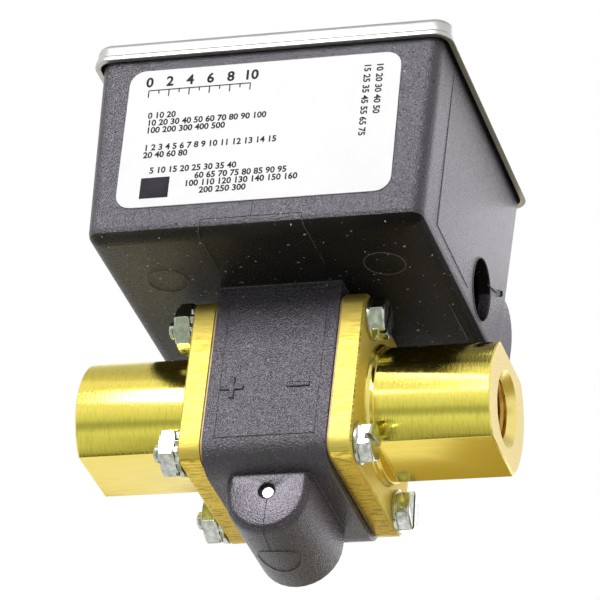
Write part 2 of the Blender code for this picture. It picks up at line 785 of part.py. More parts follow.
def make_cover(root):
    # Pressed sheet: over the top, down the outside, round the hem and up the inside.
    shape = bmesh.new()
    low = COVER_TOP - COVER_SKIRT
    loops = []
    for k in range(SMALL_STEPS + 1):
        turn = math.pi / 2 * k / SMALL_STEPS
        level = COVER_TOP - COVER_ROUND * (1 - math.cos(turn))
        loops.append(cover_loop(level, COVER_ROUND * (1 - math.sin(turn))))
    loops.append(cover_loop(low + COVER_HEM_HIGH + COVER_HEM, 0.0))
    loops.append(cover_loop(low + COVER_HEM_HIGH, -COVER_HEM))
    loops.append(cover_loop(low, -COVER_HEM))
    loops.append(cover_loop(low, COVER_SHEET))
    inner_round = COVER_ROUND - COVER_SHEET
    loops.append(cover_loop(COVER_TOP - COVER_SHEET - inner_round, COVER_SHEET))
    loops.append(cover_loop(COVER_TOP - COVER_SHEET, COVER_SHEET + inner_round))
    add_loft(shape, loops)
    cover = make_object("cover", shape, root, BRIGHT_STEEL)
    holes = bmesh.new()
    for x, y in pillar_places():
        low = COVER_TOP - 2 * COVER_SHEET
        high = COVER_TOP + COVER_SHEET
        add_rod(holes, "Z", (x, y, 0.0), COVER_SCREW + SCREW_CLEARANCE, low, high, SMALL_HOLE_SIDES)
    boolean(cover, make_object("cover_hole_cutter", holes, root), "DIFFERENCE")


def make_gasket(root):
    shape = bmesh.new()
    edge = BOX_DRAFT * (GASKET_TOP - BOX_RIM) + COVER_ROUND / 3
    loops = [
        box_loop(GASKET_LOW, edge),
        box_loop(GASKET_TOP, edge),
        box_loop(GASKET_TOP, BOX_WALL),
        box_loop(GASKET_LOW, BOX_WALL),
    ]
    add_loft(shape, loops, ring=True)
    make_object("cover_gasket", shape, root, GREY_RUBBER)


def make_pan_screw(name, axis, centre, seat, head_side, shank, shank_long, root):
    # Seat is where the head's underside lies; head_side is the way the head faces along the axis.
    shape = bmesh.new()
    head_top = SMALL_HEAD_HIGH * head_side
    profile = [
        (0, seat - shank_long * head_side),
        (shank, seat - shank_long * head_side),
        (shank, seat),
        (SMALL_HEAD, seat),
        (SMALL_HEAD, seat + head_top * 0.55),
        (SMALL_HEAD * 0.8, seat + head_top * 0.9),
        (SMALL_HEAD * 0.5, seat + head_top),
        (0, seat + head_top),
    ]
    add_turned(shape, axis, centre, profile, SMALL_POST_SIDES)
    make_object(name, shape, root, ZINC)


def make_label(root):
    shape = bmesh.new()
    outline = rounded_rectangle(LABEL_LEFT, LABEL_RIGHT, LABEL_LOW, LABEL_HIGH, LABEL_CORNER)

    def loop(off):
        return [Vector((x, -BOX_FRONT - BOX_DRAFT * (z - BOX_BOTTOM) - off, z)) for x, z in outline]

    add_loft(shape, [loop(FACE_GAP), loop(FACE_GAP + LABEL_THICK)])
    make_object("label", shape, root, WHITE_FILM)


def make_pivot_pin(root):
    shape = bmesh.new()
    front = BOSS_FRONT + PIN_RECESS
    edge = PIN_RADIUS / 6
    profile = [
        (0, front),
        (PIN_RADIUS - edge, front),
        (PIN_RADIUS, front + edge),
        (PIN_RADIUS, PIN_BACK),
        (0, PIN_BACK),
    ]
    add_turned(shape, "Y", (0, 0, PIVOT_Z), profile, PIN_SIDES)
    make_object("pivot_pin", shape, root, BRIGHT_STEEL)


def make_lever(root):
    # A strap rolled into an eye round the pin, with a window for the piston's stud.
    shape = bmesh.new()
    join = math.degrees(math.asin(LEVER_FACE / LEVER_EYE))
    outline = arc((0.0, PIVOT_Z), LEVER_EYE, 90 + join, 450 - join, EYE_STEPS)
    outline += [(LEVER_FACE, LEVER_TOP), (-LEVER_FACE, LEVER_TOP)]
    add_prism(shape, outline, "Y", -LEVER_HALF_Y, LEVER_HALF_Y)
    lever = make_object("lever", shape, root, STEEL, origin=(0.0, 0.0, PIVOT_Z))
    dimple = bmesh.new()
    end = LEVER_FACE + LEVER_DIMPLE_HIGH
    tip = LEVER_DIMPLE - SEAT_GAP
    profile = [(0, 0), (LEVER_DIMPLE, 0), (LEVER_DIMPLE, end - SEAT_GAP), (tip, end), (0, end)]
    add_turned(dimple, "X", (0, 0, SPRING_Z), profile, HOLE_SIDES)
    boolean(lever, make_object("lever_dimple_form", dimple, root), "UNION")
    holes = bmesh.new()
    eye = PIN_RADIUS + PIN_CLEARANCE
    add_rod(holes, "Y", (0, 0, PIVOT_Z), eye, -2 * LEVER_HALF_Y, 2 * LEVER_HALF_Y, PIN_SIDES)
    add_rod(holes, "X", (0, 0, 0), PISTON_STUD + STUD_WINDOW, -LEVER_THICK, LEVER_THICK, HOLE_SIDES)
    boolean(lever, make_object("lever_hole_cutter", holes, root), "DIFFERENCE")


def make_piston(root):
    # Two plates clamped through the lever: the HIGH half's stud goes into the LOW half's socket.
    hub_face = LEVER_FACE + SEAT_GAP
    plate_in = PLATE_OUT - PLATE_THICK
    high = bmesh.new()
    profile = [
        (0, -PLATE_OUT),
        (PLATE_RADIUS - SEAT_GAP, -PLATE_OUT),
        (PLATE_RADIUS, -PLATE_OUT + SEAT_GAP),
        (PLATE_RADIUS, -plate_in),
        (PISTON_HUB, -plate_in),
        (PISTON_HUB, -hub_face),
        (PISTON_STUD, -hub_face),
        (PISTON_STUD, hub_face + STUD_REACH),
        (0, hub_face + STUD_REACH),
    ]
    add_turned(high, "X", (0, 0, 0), profile)
    make_object("high_piston", high, root, STEEL)
    low = bmesh.new()
    socket = PISTON_STUD + PIN_CLEARANCE
    rest_out = PLATE_OUT - PISTON_STROKE
    rest_in = plate_in - PISTON_STROKE
    profile = [
        (0, hub_face + STUD_REACH + SEAT_GAP),
        (socket, hub_face + STUD_REACH + SEAT_GAP),
        (socket, hub_face),
        (PISTON_HUB, hub_face),
        (PISTON_HUB, rest_in),
        (PLATE_RADIUS, rest_in),
        (PLATE_RADIUS, rest_out - SEAT_GAP),
        (PLATE_RADIUS - SEAT_GAP, rest_out),
        (0, rest_out),
    ]
    add_turned(low, "X", (0, 0, 0), profile)
    make_object("low_piston", low, root, STEEL)


def make_bracket(root):
    # Base plate on the standoffs, with an upright for the range screw and an ear for the snap switch.
    base = bmesh.new()
    ear_back = EAR_FACE + BRACKET_THICK
    middle = BRACKET_RIGHT + BRACKET_THICK / 2
    back = EAR_FACE + BRACKET_THICK / 2
    outline = rounded_rectangle(BRACKET_LEFT, middle, BRACKET_FRONT, back, BRACKET_THICK, SMALL_STEPS)
    add_prism(base, outline, "Z", BRACKET_LOW, BRACKET_TOP)
    bracket = make_object("mechanism_bracket", base, root, STEEL)
    folded = BRACKET_LOW + BRACKET_THICK / 4
    upright = bmesh.new()
    outline = rounded_rectangle(
        -UPRIGHT_HALF_Y,
        UPRIGHT_HALF_Y,
        folded,
        BRACKET_HIGH,
        FOLD_CORNER,
        SMALL_STEPS,
        BRACKET_THICK,
    )
    add_prism(upright, outline, "X", BRACKET_RIGHT, BRACKET_RIGHT + BRACKET_THICK)
    boolean(bracket, make_object("bracket_upright_form", upright, root), "UNION")
    ear = bmesh.new()
    ear_right = CASE_FACE - CASE_CLEAR
    outline = rounded_rectangle(
        BRACKET_LEFT + BRACKET_THICK,
        ear_right,
        folded,
        CASE_LOW + CASE_LONG,
        FOLD_CORNER,
        SMALL_STEPS,
        BRACKET_THICK,
    )
    add_prism(ear, outline, "Y", EAR_FACE, ear_back)
    boolean(bracket, make_object("bracket_ear_form", ear, root), "UNION")
    holes = bmesh.new()
    window = (SLOT_HALF_X, SLOT_HALF_Y)
    add_block(holes, (-window[0], -window[1], folded - BRACKET_THICK), (window[0], window[1], CASE_LOW))
    for x in BRACKET_SCREW_X:
        low = BRACKET_LOW - BRACKET_THICK
        clear = SMALL_SCREW + SCREW_CLEARANCE
        add_rod(holes, "Z", (x, BRACKET_SCREW_Y, 0), clear, low, CASE_LOW, SMALL_HOLE_SIDES)
    for x, z in case_hole_places():
        low = EAR_FACE - BRACKET_THICK / 2
        high = ear_back + BRACKET_THICK
        add_rod(holes, "Y", (x, 0, z), SMALL_SCREW + SCREW_CLEARANCE, low, high, SMALL_HOLE_SIDES)
    left = BRACKET_RIGHT - BRACKET_THICK
    right = BRACKET_RIGHT + 2 * BRACKET_THICK
    add_rod(holes, "X", (0, 0, SPRING_Z), STUD_RADIUS + SCREW_CLEARANCE, left, right, HOLE_SIDES)
    boolean(bracket, make_object("bracket_hole_cutter", holes, root), "DIFFERENCE")


def case_hole_places():
    x = CASE_FACE - CASE_HOLE_INSET
    return [(x, CASE_LOW + CASE_HOLE_END), (x, CASE_LOW + CASE_LONG - CASE_HOLE_END)]


def blade_heights():
    return [CASE_MIDDLE + k * BLADE_SPACING for k in (-1, 0, 1)]


def make_snap_switch(root):
    case = bmesh.new()
    case_top = CASE_LOW + CASE_LONG
    outline = rounded_rectangle(CASE_BACK, CASE_FACE, CASE_LOW, case_top, BRACKET_THICK, SMALL_STEPS)
    add_prism(case, outline, "Y", -CASE_THICK / 2, CASE_THICK / 2)
    body = make_object("snap_switch_case", case, root, DARK_PLASTIC)
    holes = bmesh.new()
    for x, z in case_hole_places():
        clear = SMALL_SCREW + SCREW_CLEARANCE
        add_rod(holes, "Y", (x, 0, z), clear, -CASE_THICK, CASE_THICK, SMALL_HOLE_SIDES)
    deep = CASE_FACE - PLUNGER_IN_CASE - SEAT_GAP
    guide = PLUNGER_RADIUS + SEAT_GAP
    add_rod(holes, "X", (0, 0, PLUNGER_Z), guide, deep, CASE_FACE + CASE_CLEAR, SMALL_POST_SIDES)
    for z in blade_heights():
        half_y = BLADE_HALF_Y + SEAT_GAP
        half_z = BLADE_HALF_Z + SEAT_GAP
        low = (CASE_BACK - BLADE_IN, -half_y, z - half_z)
        add_block(holes, low, (CASE_BACK + BLADE_IN + SEAT_GAP, half_y, z + half_z))
    boolean(body, make_object("case_hole_cutter", holes, root), "DIFFERENCE")

    plunger = bmesh.new()
    tip = -LEVER_FACE - SEAT_GAP
    edge = PLUNGER_RADIUS / 3
    profile = [
        (0, CASE_FACE - PLUNGER_IN_CASE),
        (PLUNGER_RADIUS, CASE_FACE - PLUNGER_IN_CASE),
        (PLUNGER_RADIUS, tip - edge),
        (PLUNGER_RADIUS - edge, tip),
        (0, tip),
    ]
    add_turned(plunger, "X", (0, 0, PLUNGER_Z), profile, SMALL_POST_SIDES)
    make_object("snap_switch_plunger", plunger, root, RED_PLASTIC, origin=(CASE_FACE, 0, PLUNGER_Z))

    for name, z in zip(("terminal_common", "terminal_open", "terminal_closed"), blade_heights()):
        blade = bmesh.new()
        outline = rounded_rectangle(
            CASE_BACK - BLADE_OUT,
            CASE_BACK + BLADE_IN,
            -BLADE_HALF_Y,
            BLADE_HALF_Y,
            BLADE_HALF_Y / 3,
            SMALL_STEPS,
        )
        add_prism(blade, outline, "Z", z - BLADE_HALF_Z, z + BLADE_HALF_Z)
        terminal = make_object(name, blade, root, BRASS)
        hole = bmesh.new()
        x = CASE_BACK - BLADE_OUT * 0.6
        add_rod(hole, "Z", (x, 0, z), BLADE_HOLE, -4 * BLADE_HALF_Z, 4 * BLADE_HALF_Z, BLADE_HOLE_SIDES)
        boolean(terminal, make_object(f"{name}_hole_cutter", hole, root), "DIFFERENCE")

    for name, (x, z) in zip(("switch_screw_lower", "switch_screw_upper"), case_hole_places()):
        seat = -CASE_THICK / 2 - SEAT_GAP
        long = CASE_THICK + 2 * SEAT_GAP + BRACKET_THICK
        make_pan_screw(name, "Y", (x, 0, z), seat, -1, SMALL_SCREW, long, root)


def make_range_spring(root):
    # Closed end turns lie wire to wire and the working turns share the rest of the length.
    count = SPRING_TURNS * WIRE_STEPS
    close_pitch = 2.2 * WIRE_RADIUS
    open_pitch = (SPRING_LENGTH - 2 * WIRE_RADIUS - 2 * close_pitch) / (SPRING_TURNS - 2)
    curve = bpy.data.curves.new("range_spring", "CURVE")
    curve.dimensions = "3D"
    curve.bevel_depth = WIRE_RADIUS
    curve.bevel_resolution = 1
    curve.use_fill_caps = True
    line = curve.splines.new("POLY")
    line.points.add(count)
    for k, point in enumerate(line.points):
        turns = k / WIRE_STEPS
        opened = min(max(turns - 1, 0.0), SPRING_TURNS - 2.0)
        closed = turns - opened
        x = SPRING_START + WIRE_RADIUS + opened * open_pitch + closed * close_pitch
        angle = 2 * math.pi * turns
        y = SPRING_RADIUS * math.cos(angle)
        z = SPRING_Z + SPRING_RADIUS * math.sin(angle)
        point.co = (x, y, z, 1.0)
    spring = bpy.data.objects.new("range_spring", curve)
    spring.parent = root
    curve.materials.append(make_material("range_spring", STEEL))
    bpy.context.collection.objects.link(spring)


def make_adjustment(root):
    stud = bmesh.new()
    head_face = BRACKET_RIGHT + BRACKET_THICK + SEAT_GAP
    edge = STUD_RADIUS / 5
    profile = [
        (0, STUD_TIP),
        (STUD_RADIUS - edge, STUD_TIP),
        (STUD_RADIUS, STUD_TIP + edge),
        (STUD_RADIUS, head_face),
        (STUD_HEAD, head_face),
        (STUD_HEAD, head_face + STUD_HEAD_LONG - edge),
        (STUD_HEAD - edge, head_face + STUD_HEAD_LONG),
        (0, head_face + STUD_HEAD_LONG),
    ]
    add_turned(stud, "X", (0, 0, SPRING_Z), profile, POST_SIDES)
    make_object("range_screw", stud, root, ZINC)

    seat = bmesh.new()
    bore = STUD_RADIUS + SEAT_GAP
    profile = [
        (bore, SEAT_FACE - SEAT_HUB_LONG),
        (SEAT_HUB, SEAT_FACE - SEAT_HUB_LONG),
        (SEAT_HUB, SEAT_FACE),
        (SEAT_RADIUS, SEAT_FACE),
        (SEAT_RADIUS, SEAT_FACE + SEAT_THICK),
        (bore, SEAT_FACE + SEAT_THICK),
    ]
    add_turned(seat, "X", (0, 0, SPRING_Z), profile, 20, ring=True)
    make_object("spring_seat", seat, root, ZINC, origin=(SEAT_FACE, 0, SPRING_Z))

    bore = STUD_RADIUS + PIN_CLEARANCE
    middle = (0.0, SPRING_Z)
    for name, low, long in (
        ("adjusting_nut", NUT_FACE, ADJUST_NUT_LONG),
        ("range_locknut", LOCKNUT_FACE, LOCKNUT_LONG),
    ):
        nut = bmesh.new()
        add_loft(nut, nut_loops(ADJUST_NUT_FLAT, bore, low, low + long, middle), ring=True)
        make_object(name, nut, root, BRASS, origin=(low, 0, SPRING_Z))


def main():
    clear_scene()
    root = root_empty()
    holes = make_object("flange_bolt_cutter", bolt_holes(), root)
    make_housing(root, holes)
    for name, side in (("high", -1), ("low", 1)):
        make_port(f"{name}_port", side, root, holes)
        make_diaphragm(f"{name}_diaphragm", side, root, holes)
    corners = ("top_front", "top_rear", "bottom_front", "bottom_rear")
    slot_turns = (80, 20, 8, 100)
    hex_turns = (0, 0, 30, 30)
    for corner, place_yz, hex_turn, slot_turn in zip(corners, bolt_places(), hex_turns, slot_turns):
        make_flange_screw(f"flange_screw_{corner}", place_yz, hex_turn, slot_turn, root)
        make_lock_washer(f"lock_washer_{corner}", place_yz, root)
        make_flange_nut(f"flange_nut_{corner}", place_yz, hex_turn, root)
    make_cover(root)
    make_gasket(root)
    for name, (x, y) in zip(("cover_screw_front", "cover_screw_rear"), pillar_places()):
        long = COVER_TOP + SEAT_GAP - BOX_RIM + COVER_SCREW_LONG
        make_pan_screw(name, "Z", (x, y, 0), COVER_TOP + SEAT_GAP, 1, COVER_SCREW, long, root)
    make_label(root)
    make_pivot_pin(root)
    make_lever(root)
    make_piston(root)
    make_bracket(root)
    for name, x in zip(("bracket_screw_left", "bracket_screw_right"), BRACKET_SCREW_X):
        seat = BRACKET_TOP + SEAT_GAP
        make_pan_screw(name, "Z", (x, BRACKET_SCREW_Y, 0), seat, 1, SMALL_SCREW, SMALL_SCREW_LONG, root)
    make_snap_switch(root)
    make_range_spring(root)
    make_adjustment(root)


main()
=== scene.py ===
import json
import math
import bmesh
import bpy
from mathutils import Matrix, Vector

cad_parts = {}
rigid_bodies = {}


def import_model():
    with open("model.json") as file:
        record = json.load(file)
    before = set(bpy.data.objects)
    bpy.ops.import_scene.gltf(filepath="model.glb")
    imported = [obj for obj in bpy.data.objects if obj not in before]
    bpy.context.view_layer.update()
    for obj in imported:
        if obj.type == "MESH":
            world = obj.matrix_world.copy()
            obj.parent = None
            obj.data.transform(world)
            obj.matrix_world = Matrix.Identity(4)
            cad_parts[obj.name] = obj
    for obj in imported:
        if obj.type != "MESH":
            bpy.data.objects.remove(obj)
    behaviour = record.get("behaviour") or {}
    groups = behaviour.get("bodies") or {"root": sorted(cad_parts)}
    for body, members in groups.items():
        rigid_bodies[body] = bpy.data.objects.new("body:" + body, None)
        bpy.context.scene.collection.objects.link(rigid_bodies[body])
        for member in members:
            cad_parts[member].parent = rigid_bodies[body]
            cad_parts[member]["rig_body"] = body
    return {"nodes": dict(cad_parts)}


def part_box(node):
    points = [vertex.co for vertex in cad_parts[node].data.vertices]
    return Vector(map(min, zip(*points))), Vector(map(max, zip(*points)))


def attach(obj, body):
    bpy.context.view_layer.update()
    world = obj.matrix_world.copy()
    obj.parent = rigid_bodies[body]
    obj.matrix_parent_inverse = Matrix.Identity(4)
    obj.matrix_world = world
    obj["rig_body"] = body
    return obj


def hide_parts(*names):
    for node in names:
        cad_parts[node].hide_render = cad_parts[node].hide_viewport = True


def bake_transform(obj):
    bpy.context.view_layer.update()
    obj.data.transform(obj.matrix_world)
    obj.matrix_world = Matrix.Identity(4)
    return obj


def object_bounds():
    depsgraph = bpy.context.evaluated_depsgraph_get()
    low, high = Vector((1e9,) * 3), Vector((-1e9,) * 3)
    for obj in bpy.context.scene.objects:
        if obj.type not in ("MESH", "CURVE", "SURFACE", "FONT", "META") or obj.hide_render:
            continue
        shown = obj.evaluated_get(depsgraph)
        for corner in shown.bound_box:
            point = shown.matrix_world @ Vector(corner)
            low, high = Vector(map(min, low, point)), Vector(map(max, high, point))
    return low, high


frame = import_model()
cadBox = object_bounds()
nodes = frame["nodes"]
scene = bpy.context.scene
scene.view_settings.view_transform = "Standard"
print("frame loaded with", len(nodes), "nodes")

# Sizes below are in millimetres from the middle of the port axis, as the drawing has them.
portAxisY = -25.8
portAxisZ = -24.6


def at(x, y, z):
    return Vector((x, y + portAxisY, z + portAxisZ)) / 1000


# Camera
photoCamera = {
    "azimuth": 19.639,
    "elevation": -29.878,
    "roll": 6.445,
    "place": (232.93, -659.96, -376.19),
    "lens": 253.77,
    "sensor": 36,
    "near": 0.01,
    "far": 50,
}


def placeCamera():
    look = photoCamera
    azimuth, elevation, roll = (math.radians(look[key]) for key in ("azimuth", "elevation", "roll"))
    flat = math.cos(elevation)
    back = Vector((math.sin(azimuth) * flat, -math.cos(azimuth) * flat, math.sin(elevation)))
    right = (-back).cross(Vector((0, 0, 1))).normalized()
    up = right.cross(-back)
    across = right * math.cos(roll) + up * math.sin(roll)
    rise = up * math.cos(roll) - right * math.sin(roll)
    camera = bpy.data.objects.new("photoCamera", bpy.data.cameras.new("photoCamera"))
    camera.data.sensor_width = look["sensor"]
    camera.data.lens = look["lens"]
    camera.data.clip_start = look["near"]
    camera.data.clip_end = look["far"]
    turn = Matrix((across, rise, back)).transposed().to_4x4()
    camera.matrix_world = Matrix.Translation(at(*look["place"])) @ turn
    scene.collection.objects.link(camera)
    scene.camera = camera


placeCamera()
print("camera placed")

# Studio: a pale floor, a soft box at the upper left front, a wide rim box behind,
# and walls round about that only show in reflections
studio = {
    "worldLevel": 0.32,
    "softBox": {
        "azimuth": -15.0,
        "elevation": 24.0,
        "distance": 1.25,
        "size": (0.58, 0.52),
        "power": 11.6,
    },
    "rimBox": {
        "azimuth": 160.0,
        "elevation": 23.0,
        "distance": 1.4,
        "size": (1.7, 1.3),
        "power": 7.2,
    },
    "endCard": {
        "middle": (60.7, 57.2, 34.9),
        "faces": (160.4, 29.9),
        "size": (56, 44),
        "shade": (0.94, 0.92, 0.96),
    },
    "floorColour": (0.90, 0.90, 0.89, 1),
    "floorGlow": 0.28,
    "floorDrop": 0.0004,
    "floorHalf": 6.0,
    "floorRoughness": 0.9,
    "floorShine": 0.1,
    "wallSteps": 24,
}
# Walls: how far round they reach, and their shade at each height
frontWall = {
    "from": -75,
    "to": 70,
    "radius": 2.4,
    "levels": (
        (3, (1.00, 1.00, 1.00)),
        (-6, (0.80, 0.85, 0.72)),
        (-14, (0.66, 0.72, 0.58)),
        (-20, (0.40, 0.43, 0.34)),
        (-26, (0.42, 0.45, 0.36)),
        (-33, (0.78, 0.84, 0.70)),
        (-43, (0.66, 0.70, 0.56)),
        (-52, (0.50, 0.53, 0.42)),
        (-60, (0.42, 0.44, 0.34)),
        (-64, (0.10, 0.10, 0.07)),
        (-74, (0.08, 0.08, 0.06)),
    ),
}
backWall = {
    "from": 95,
    "to": 201.2,
    "radius": 2.2,
    "levels": ((-14, (0.46, 0.38, 0.16)), (-30, (0.40, 0.32, 0.10)), (-46, (0.46, 0.38, 0.16))),
}
sideWall = {
    "from": 112,
    "to": 182,
    "radius": 2.1,
    "levels": ((-4, (0.86, 0.84, 0.88)), (22, (0.94, 0.92, 0.96)), (46, (0.94, 0.92, 0.96))),
}
ceiling = {
    "from": -180,
    "to": 180,
    "radius": 2.0,
    "levels": ((52, (0.80, 0.80, 0.80)), (62, (0.60, 0.60, 0.60)), (80, (0.50, 0.50, 0.50))),
}


def direction(azimuth, elevation):
    a, e = math.radians(azimuth), math.radians(elevation)
    return Vector((math.sin(a) * math.cos(e), -math.cos(a) * math.cos(e), math.sin(e)))


def largest(tree, *sockets):
    # The largest of several values, for light path tests
    result = sockets[0]
    for socket in sockets[1:]:
        node = tree.nodes.new("ShaderNodeMath")
        node.operation = "MAXIMUM"
        tree.links.new(result, node.inputs[0])
        tree.links.new(socket, node.inputs[1])
        result = node.outputs[0]
    return result


def combine(tree, operation, first, second):
    node = tree.nodes.new("ShaderNodeMath")
    node.operation = operation
    for socket, value in zip(node.inputs, (first, second)):
        if isinstance(value, (int, float)):
            socket.default_value = value
        else:
            tree.links.new(value, socket)
    return node.outputs[0]


def makeWorld():
    world = bpy.data.worlds.new("studioWorld")
    scene.world = world
    world.use_nodes = True
    tree = world.node_tree
    tree.nodes.clear()
    path = tree.nodes.new("ShaderNodeLightPath")
    seen = tree.nodes.new("ShaderNodeBackground")
    seen.inputs["Strength"].default_value = 1.0
    light = tree.nodes.new("ShaderNodeBackground")
    light.inputs["Strength"].default_value = studio["worldLevel"]
    blend = tree.nodes.new("ShaderNodeMixShader")
    output = tree.nodes.new("ShaderNodeOutputWorld")
    for background in (seen, light):
        background.inputs["Color"].default_value = (1, 1, 1, 1)
    kinds = ("Is Camera Ray", "Is Glossy Ray", "Is Transmission Ray")
    rays = largest(tree, *(path.outputs[kind] for kind in kinds))
    tree.links.new(rays, blend.inputs["Fac"])
    tree.links.new(light.outputs[0], blend.inputs[1])
    tree.links.new(seen.outputs[0], blend.inputs[2])
    tree.links.new(blend.outputs[0], output.inputs["Surface"])


def makeLamp(name, look, target):
    data = bpy.data.lights.new(name, "AREA")
    data.shape = "RECTANGLE"
    data.size, data.size_y = look["size"]
    data.energy = look["power"]
    lamp = bpy.data.objects.new(name, data)
    away = direction(look["azimuth"], look["elevation"])
    turn = away.to_track_quat("Z", "Y").to_matrix().to_4x4()
    lamp.matrix_world = Matrix.Translation(target + away * look["distance"]) @ turn
    scene.collection.objects.link(lamp)


def makeWall(name, look, target):
    # A curved wall spun round the object from a short upright line, one shade to each height
    bm = bmesh.new()
    line = []
    for elevation, shade in look["levels"]:
        line.append(bm.verts.new(target + direction(look["from"], elevation) * look["radius"]))
    edges = [bm.edges.new(pair) for pair in zip(line, line[1:])]
    bmesh.ops.spin(
        bm,
        geom=line + edges,
        cent=target,
        axis=(0, 0, 1),
        angle=math.radians(look["to"] - look["from"]),
        steps=studio["wallSteps"],
        use_merge=False,
        use_duplicate=False,
    )
    paint = bm.verts.layers.float_color.new("shade")
    for vert in bm.verts:
        away = vert.co - target
        height = math.degrees(math.asin(away.z / away.length))
        nearest = min(look["levels"], key=lambda level: abs(level[0] - height))
        vert[paint] = (*nearest[1], 1)
    hangReflector(name, bm)


def makeCard(name, look):
    # A small card close to the object, in one shade
    bm = bmesh.new()
    bmesh.ops.create_grid(bm, x_segments=1, y_segments=1, size=0.5)
    paint = bm.verts.layers.float_color.new("shade")
    for vert in bm.verts:
        vert[paint] = (*look["shade"], 1)
    wide, high = look["size"]
    bmesh.ops.scale(bm, vec=(wide / 1000, high / 1000, 1), verts=bm.verts)
    turn = direction(*look["faces"]).to_track_quat("Z", "Y").to_matrix().to_4x4()
    bmesh.ops.transform(bm, matrix=Matrix.Translation(at(*look["middle"])) @ turn, verts=bm.verts)
    hangReflector(name, bm)


def hangReflector(name, bm):
    # Glows in the shade painted on its points, and shows in reflections only
    mesh = bpy.data.meshes.new(name)
    bm.to_mesh(mesh)
    bm.free()
    material = bpy.data.materials.new(name)
    material.use_nodes = True
    tree = material.node_tree
    tree.nodes.remove(tree.nodes["Principled BSDF"])
    shade = tree.nodes.new("ShaderNodeAttribute")
    shade.attribute_name = "shade"
    glow = tree.nodes.new("ShaderNodeEmission")
    tree.links.new(shade.outputs["Color"], glow.inputs["Color"])
    tree.links.new(glow.outputs[0], tree.nodes["Material Output"].inputs["Surface"])
    mesh.materials.append(material)
    reflector = bpy.data.objects.new(name, mesh)
    scene.collection.objects.link(reflector)
    reflector.visible_camera = False
    reflector.visible_diffuse = False
    reflector.visible_shadow = False


def makeFloor(low):
    # The floor shows and shades from above only, so a view from below looks past it.
    bm = bmesh.new()
    bmesh.ops.create_grid(bm, x_segments=1, y_segments=1, size=studio["floorHalf"])
    bmesh.ops.translate(bm, vec=(0, 0, low - studio["floorDrop"]), verts=bm.verts)
    mesh = bpy.data.meshes.new("studioFloor")
    bm.to_mesh(mesh)
    bm.free()
    floor = bpy.data.objects.new("studioFloor", mesh)
    scene.collection.objects.link(floor)
    material = bpy.data.materials.new("studioFloor")
    material.use_nodes = True
    tree = material.node_tree
    shader = tree.nodes["Principled BSDF"]
    shader.inputs["Base Color"].default_value = studio["floorColour"]
    shader.inputs["Roughness"].default_value = studio["floorRoughness"]
    shader.inputs["Specular IOR Level"].default_value = studio["floorShine"]
    clear = tree.nodes.new("ShaderNodeBsdfTransparent")
    geometry = tree.nodes.new("ShaderNodeNewGeometry")
    path = tree.nodes.new("ShaderNodeLightPath")
    # A little glow that only the camera sees keeps the floor pale without lighting the object
    shader.inputs["Emission Color"].default_value = (1, 1, 1, 1)
    glow = combine(tree, "MULTIPLY", path.outputs["Is Camera Ray"], studio["floorGlow"])
    tree.links.new(glow, shader.inputs["Emission Strength"])
    blend = tree.nodes.new("ShaderNodeMixShader")
    hidden = largest(tree, geometry.outputs["Backfacing"], path.outputs["Is Shadow Ray"])
    tree.links.new(hidden, blend.inputs["Fac"])
    tree.links.new(shader.outputs[0], blend.inputs[1])
    tree.links.new(clear.outputs[0], blend.inputs[2])
    tree.links.new(blend.outputs[0], tree.nodes["Material Output"].inputs["Surface"])
    mesh.materials.append(material)
    floor.visible_glossy = False


def makeStudio():
    middle = (cadBox[0] + cadBox[1]) / 2
    makeWorld()
    makeLamp("softBox", studio["softBox"], middle)
    makeLamp("rimBox", studio["rimBox"], middle)
    makeWall("frontWall", frontWall, middle)
    makeWall("backWall", backWall, middle)
    makeWall("sideWall", sideWall, middle)
    makeWall("ceiling", ceiling, middle)
    makeCard("endCard", studio["endCard"])
    makeFloor(cadBox[0].z)


makeStudio()
print("studio lit")


# Material building blocks, and the parts of the noise's range that they spread out
cloudRange = (0.35, 0.65)
grainRange = (0.3, 0.7)
rubbedRange = (0.80, 0.97)
bevelSamples = 4


def coordinates(tree, stretch=(1, 1, 1)):
    # Object coordinates in metres, stretched along an axis for brushed or turned marks
    source = tree.nodes.new("ShaderNodeTexCoord")
    mapping = tree.nodes.new("ShaderNodeMapping")
    mapping.inputs["Scale"].default_value = stretch
    tree.links.new(source.outputs["Object"], mapping.inputs["Vector"])
    return mapping.outputs["Vector"]


def noise(tree, vector, scale, detail=3, roughness=0.55):
    node = tree.nodes.new("ShaderNodeTexNoise")
    node.inputs["Scale"].default_value = scale
    node.inputs["Detail"].default_value = detail
    node.inputs["Roughness"].default_value = roughness
    tree.links.new(vector, node.inputs["Vector"])
    return node.outputs["Fac"]


def remap(tree, value, low, high, toLow=0.0, toHigh=1.0):
    node = tree.nodes.new("ShaderNodeMapRange")
    node.inputs["From Min"].default_value = low
    node.inputs["From Max"].default_value = high
    node.inputs["To Min"].default_value = toLow
    node.inputs["To Max"].default_value = toHigh
    tree.links.new(value, node.inputs["Value"])
    return node.outputs["Result"]


def mixColour(tree, factor, first, second):
    node = tree.nodes.new("ShaderNodeMix")
    node.data_type = "RGBA"
    tree.links.new(factor, node.inputs["Factor"])
    for name, value in (("A", first), ("B", second)):
        socket = [s for s in node.inputs if s.name == name and s.type == "RGBA"][0]
        if isinstance(value, tuple):
            socket.default_value = (*value, 1)
        else:
            tree.links.new(value, socket)
    return [s for s in node.outputs if s.type == "RGBA"][0]


def roundedNormal(tree, radius):
    node = tree.nodes.new("ShaderNodeBevel")
    node.samples = bevelSamples
    node.inputs["Radius"].default_value = radius
    return node.outputs["Normal"]


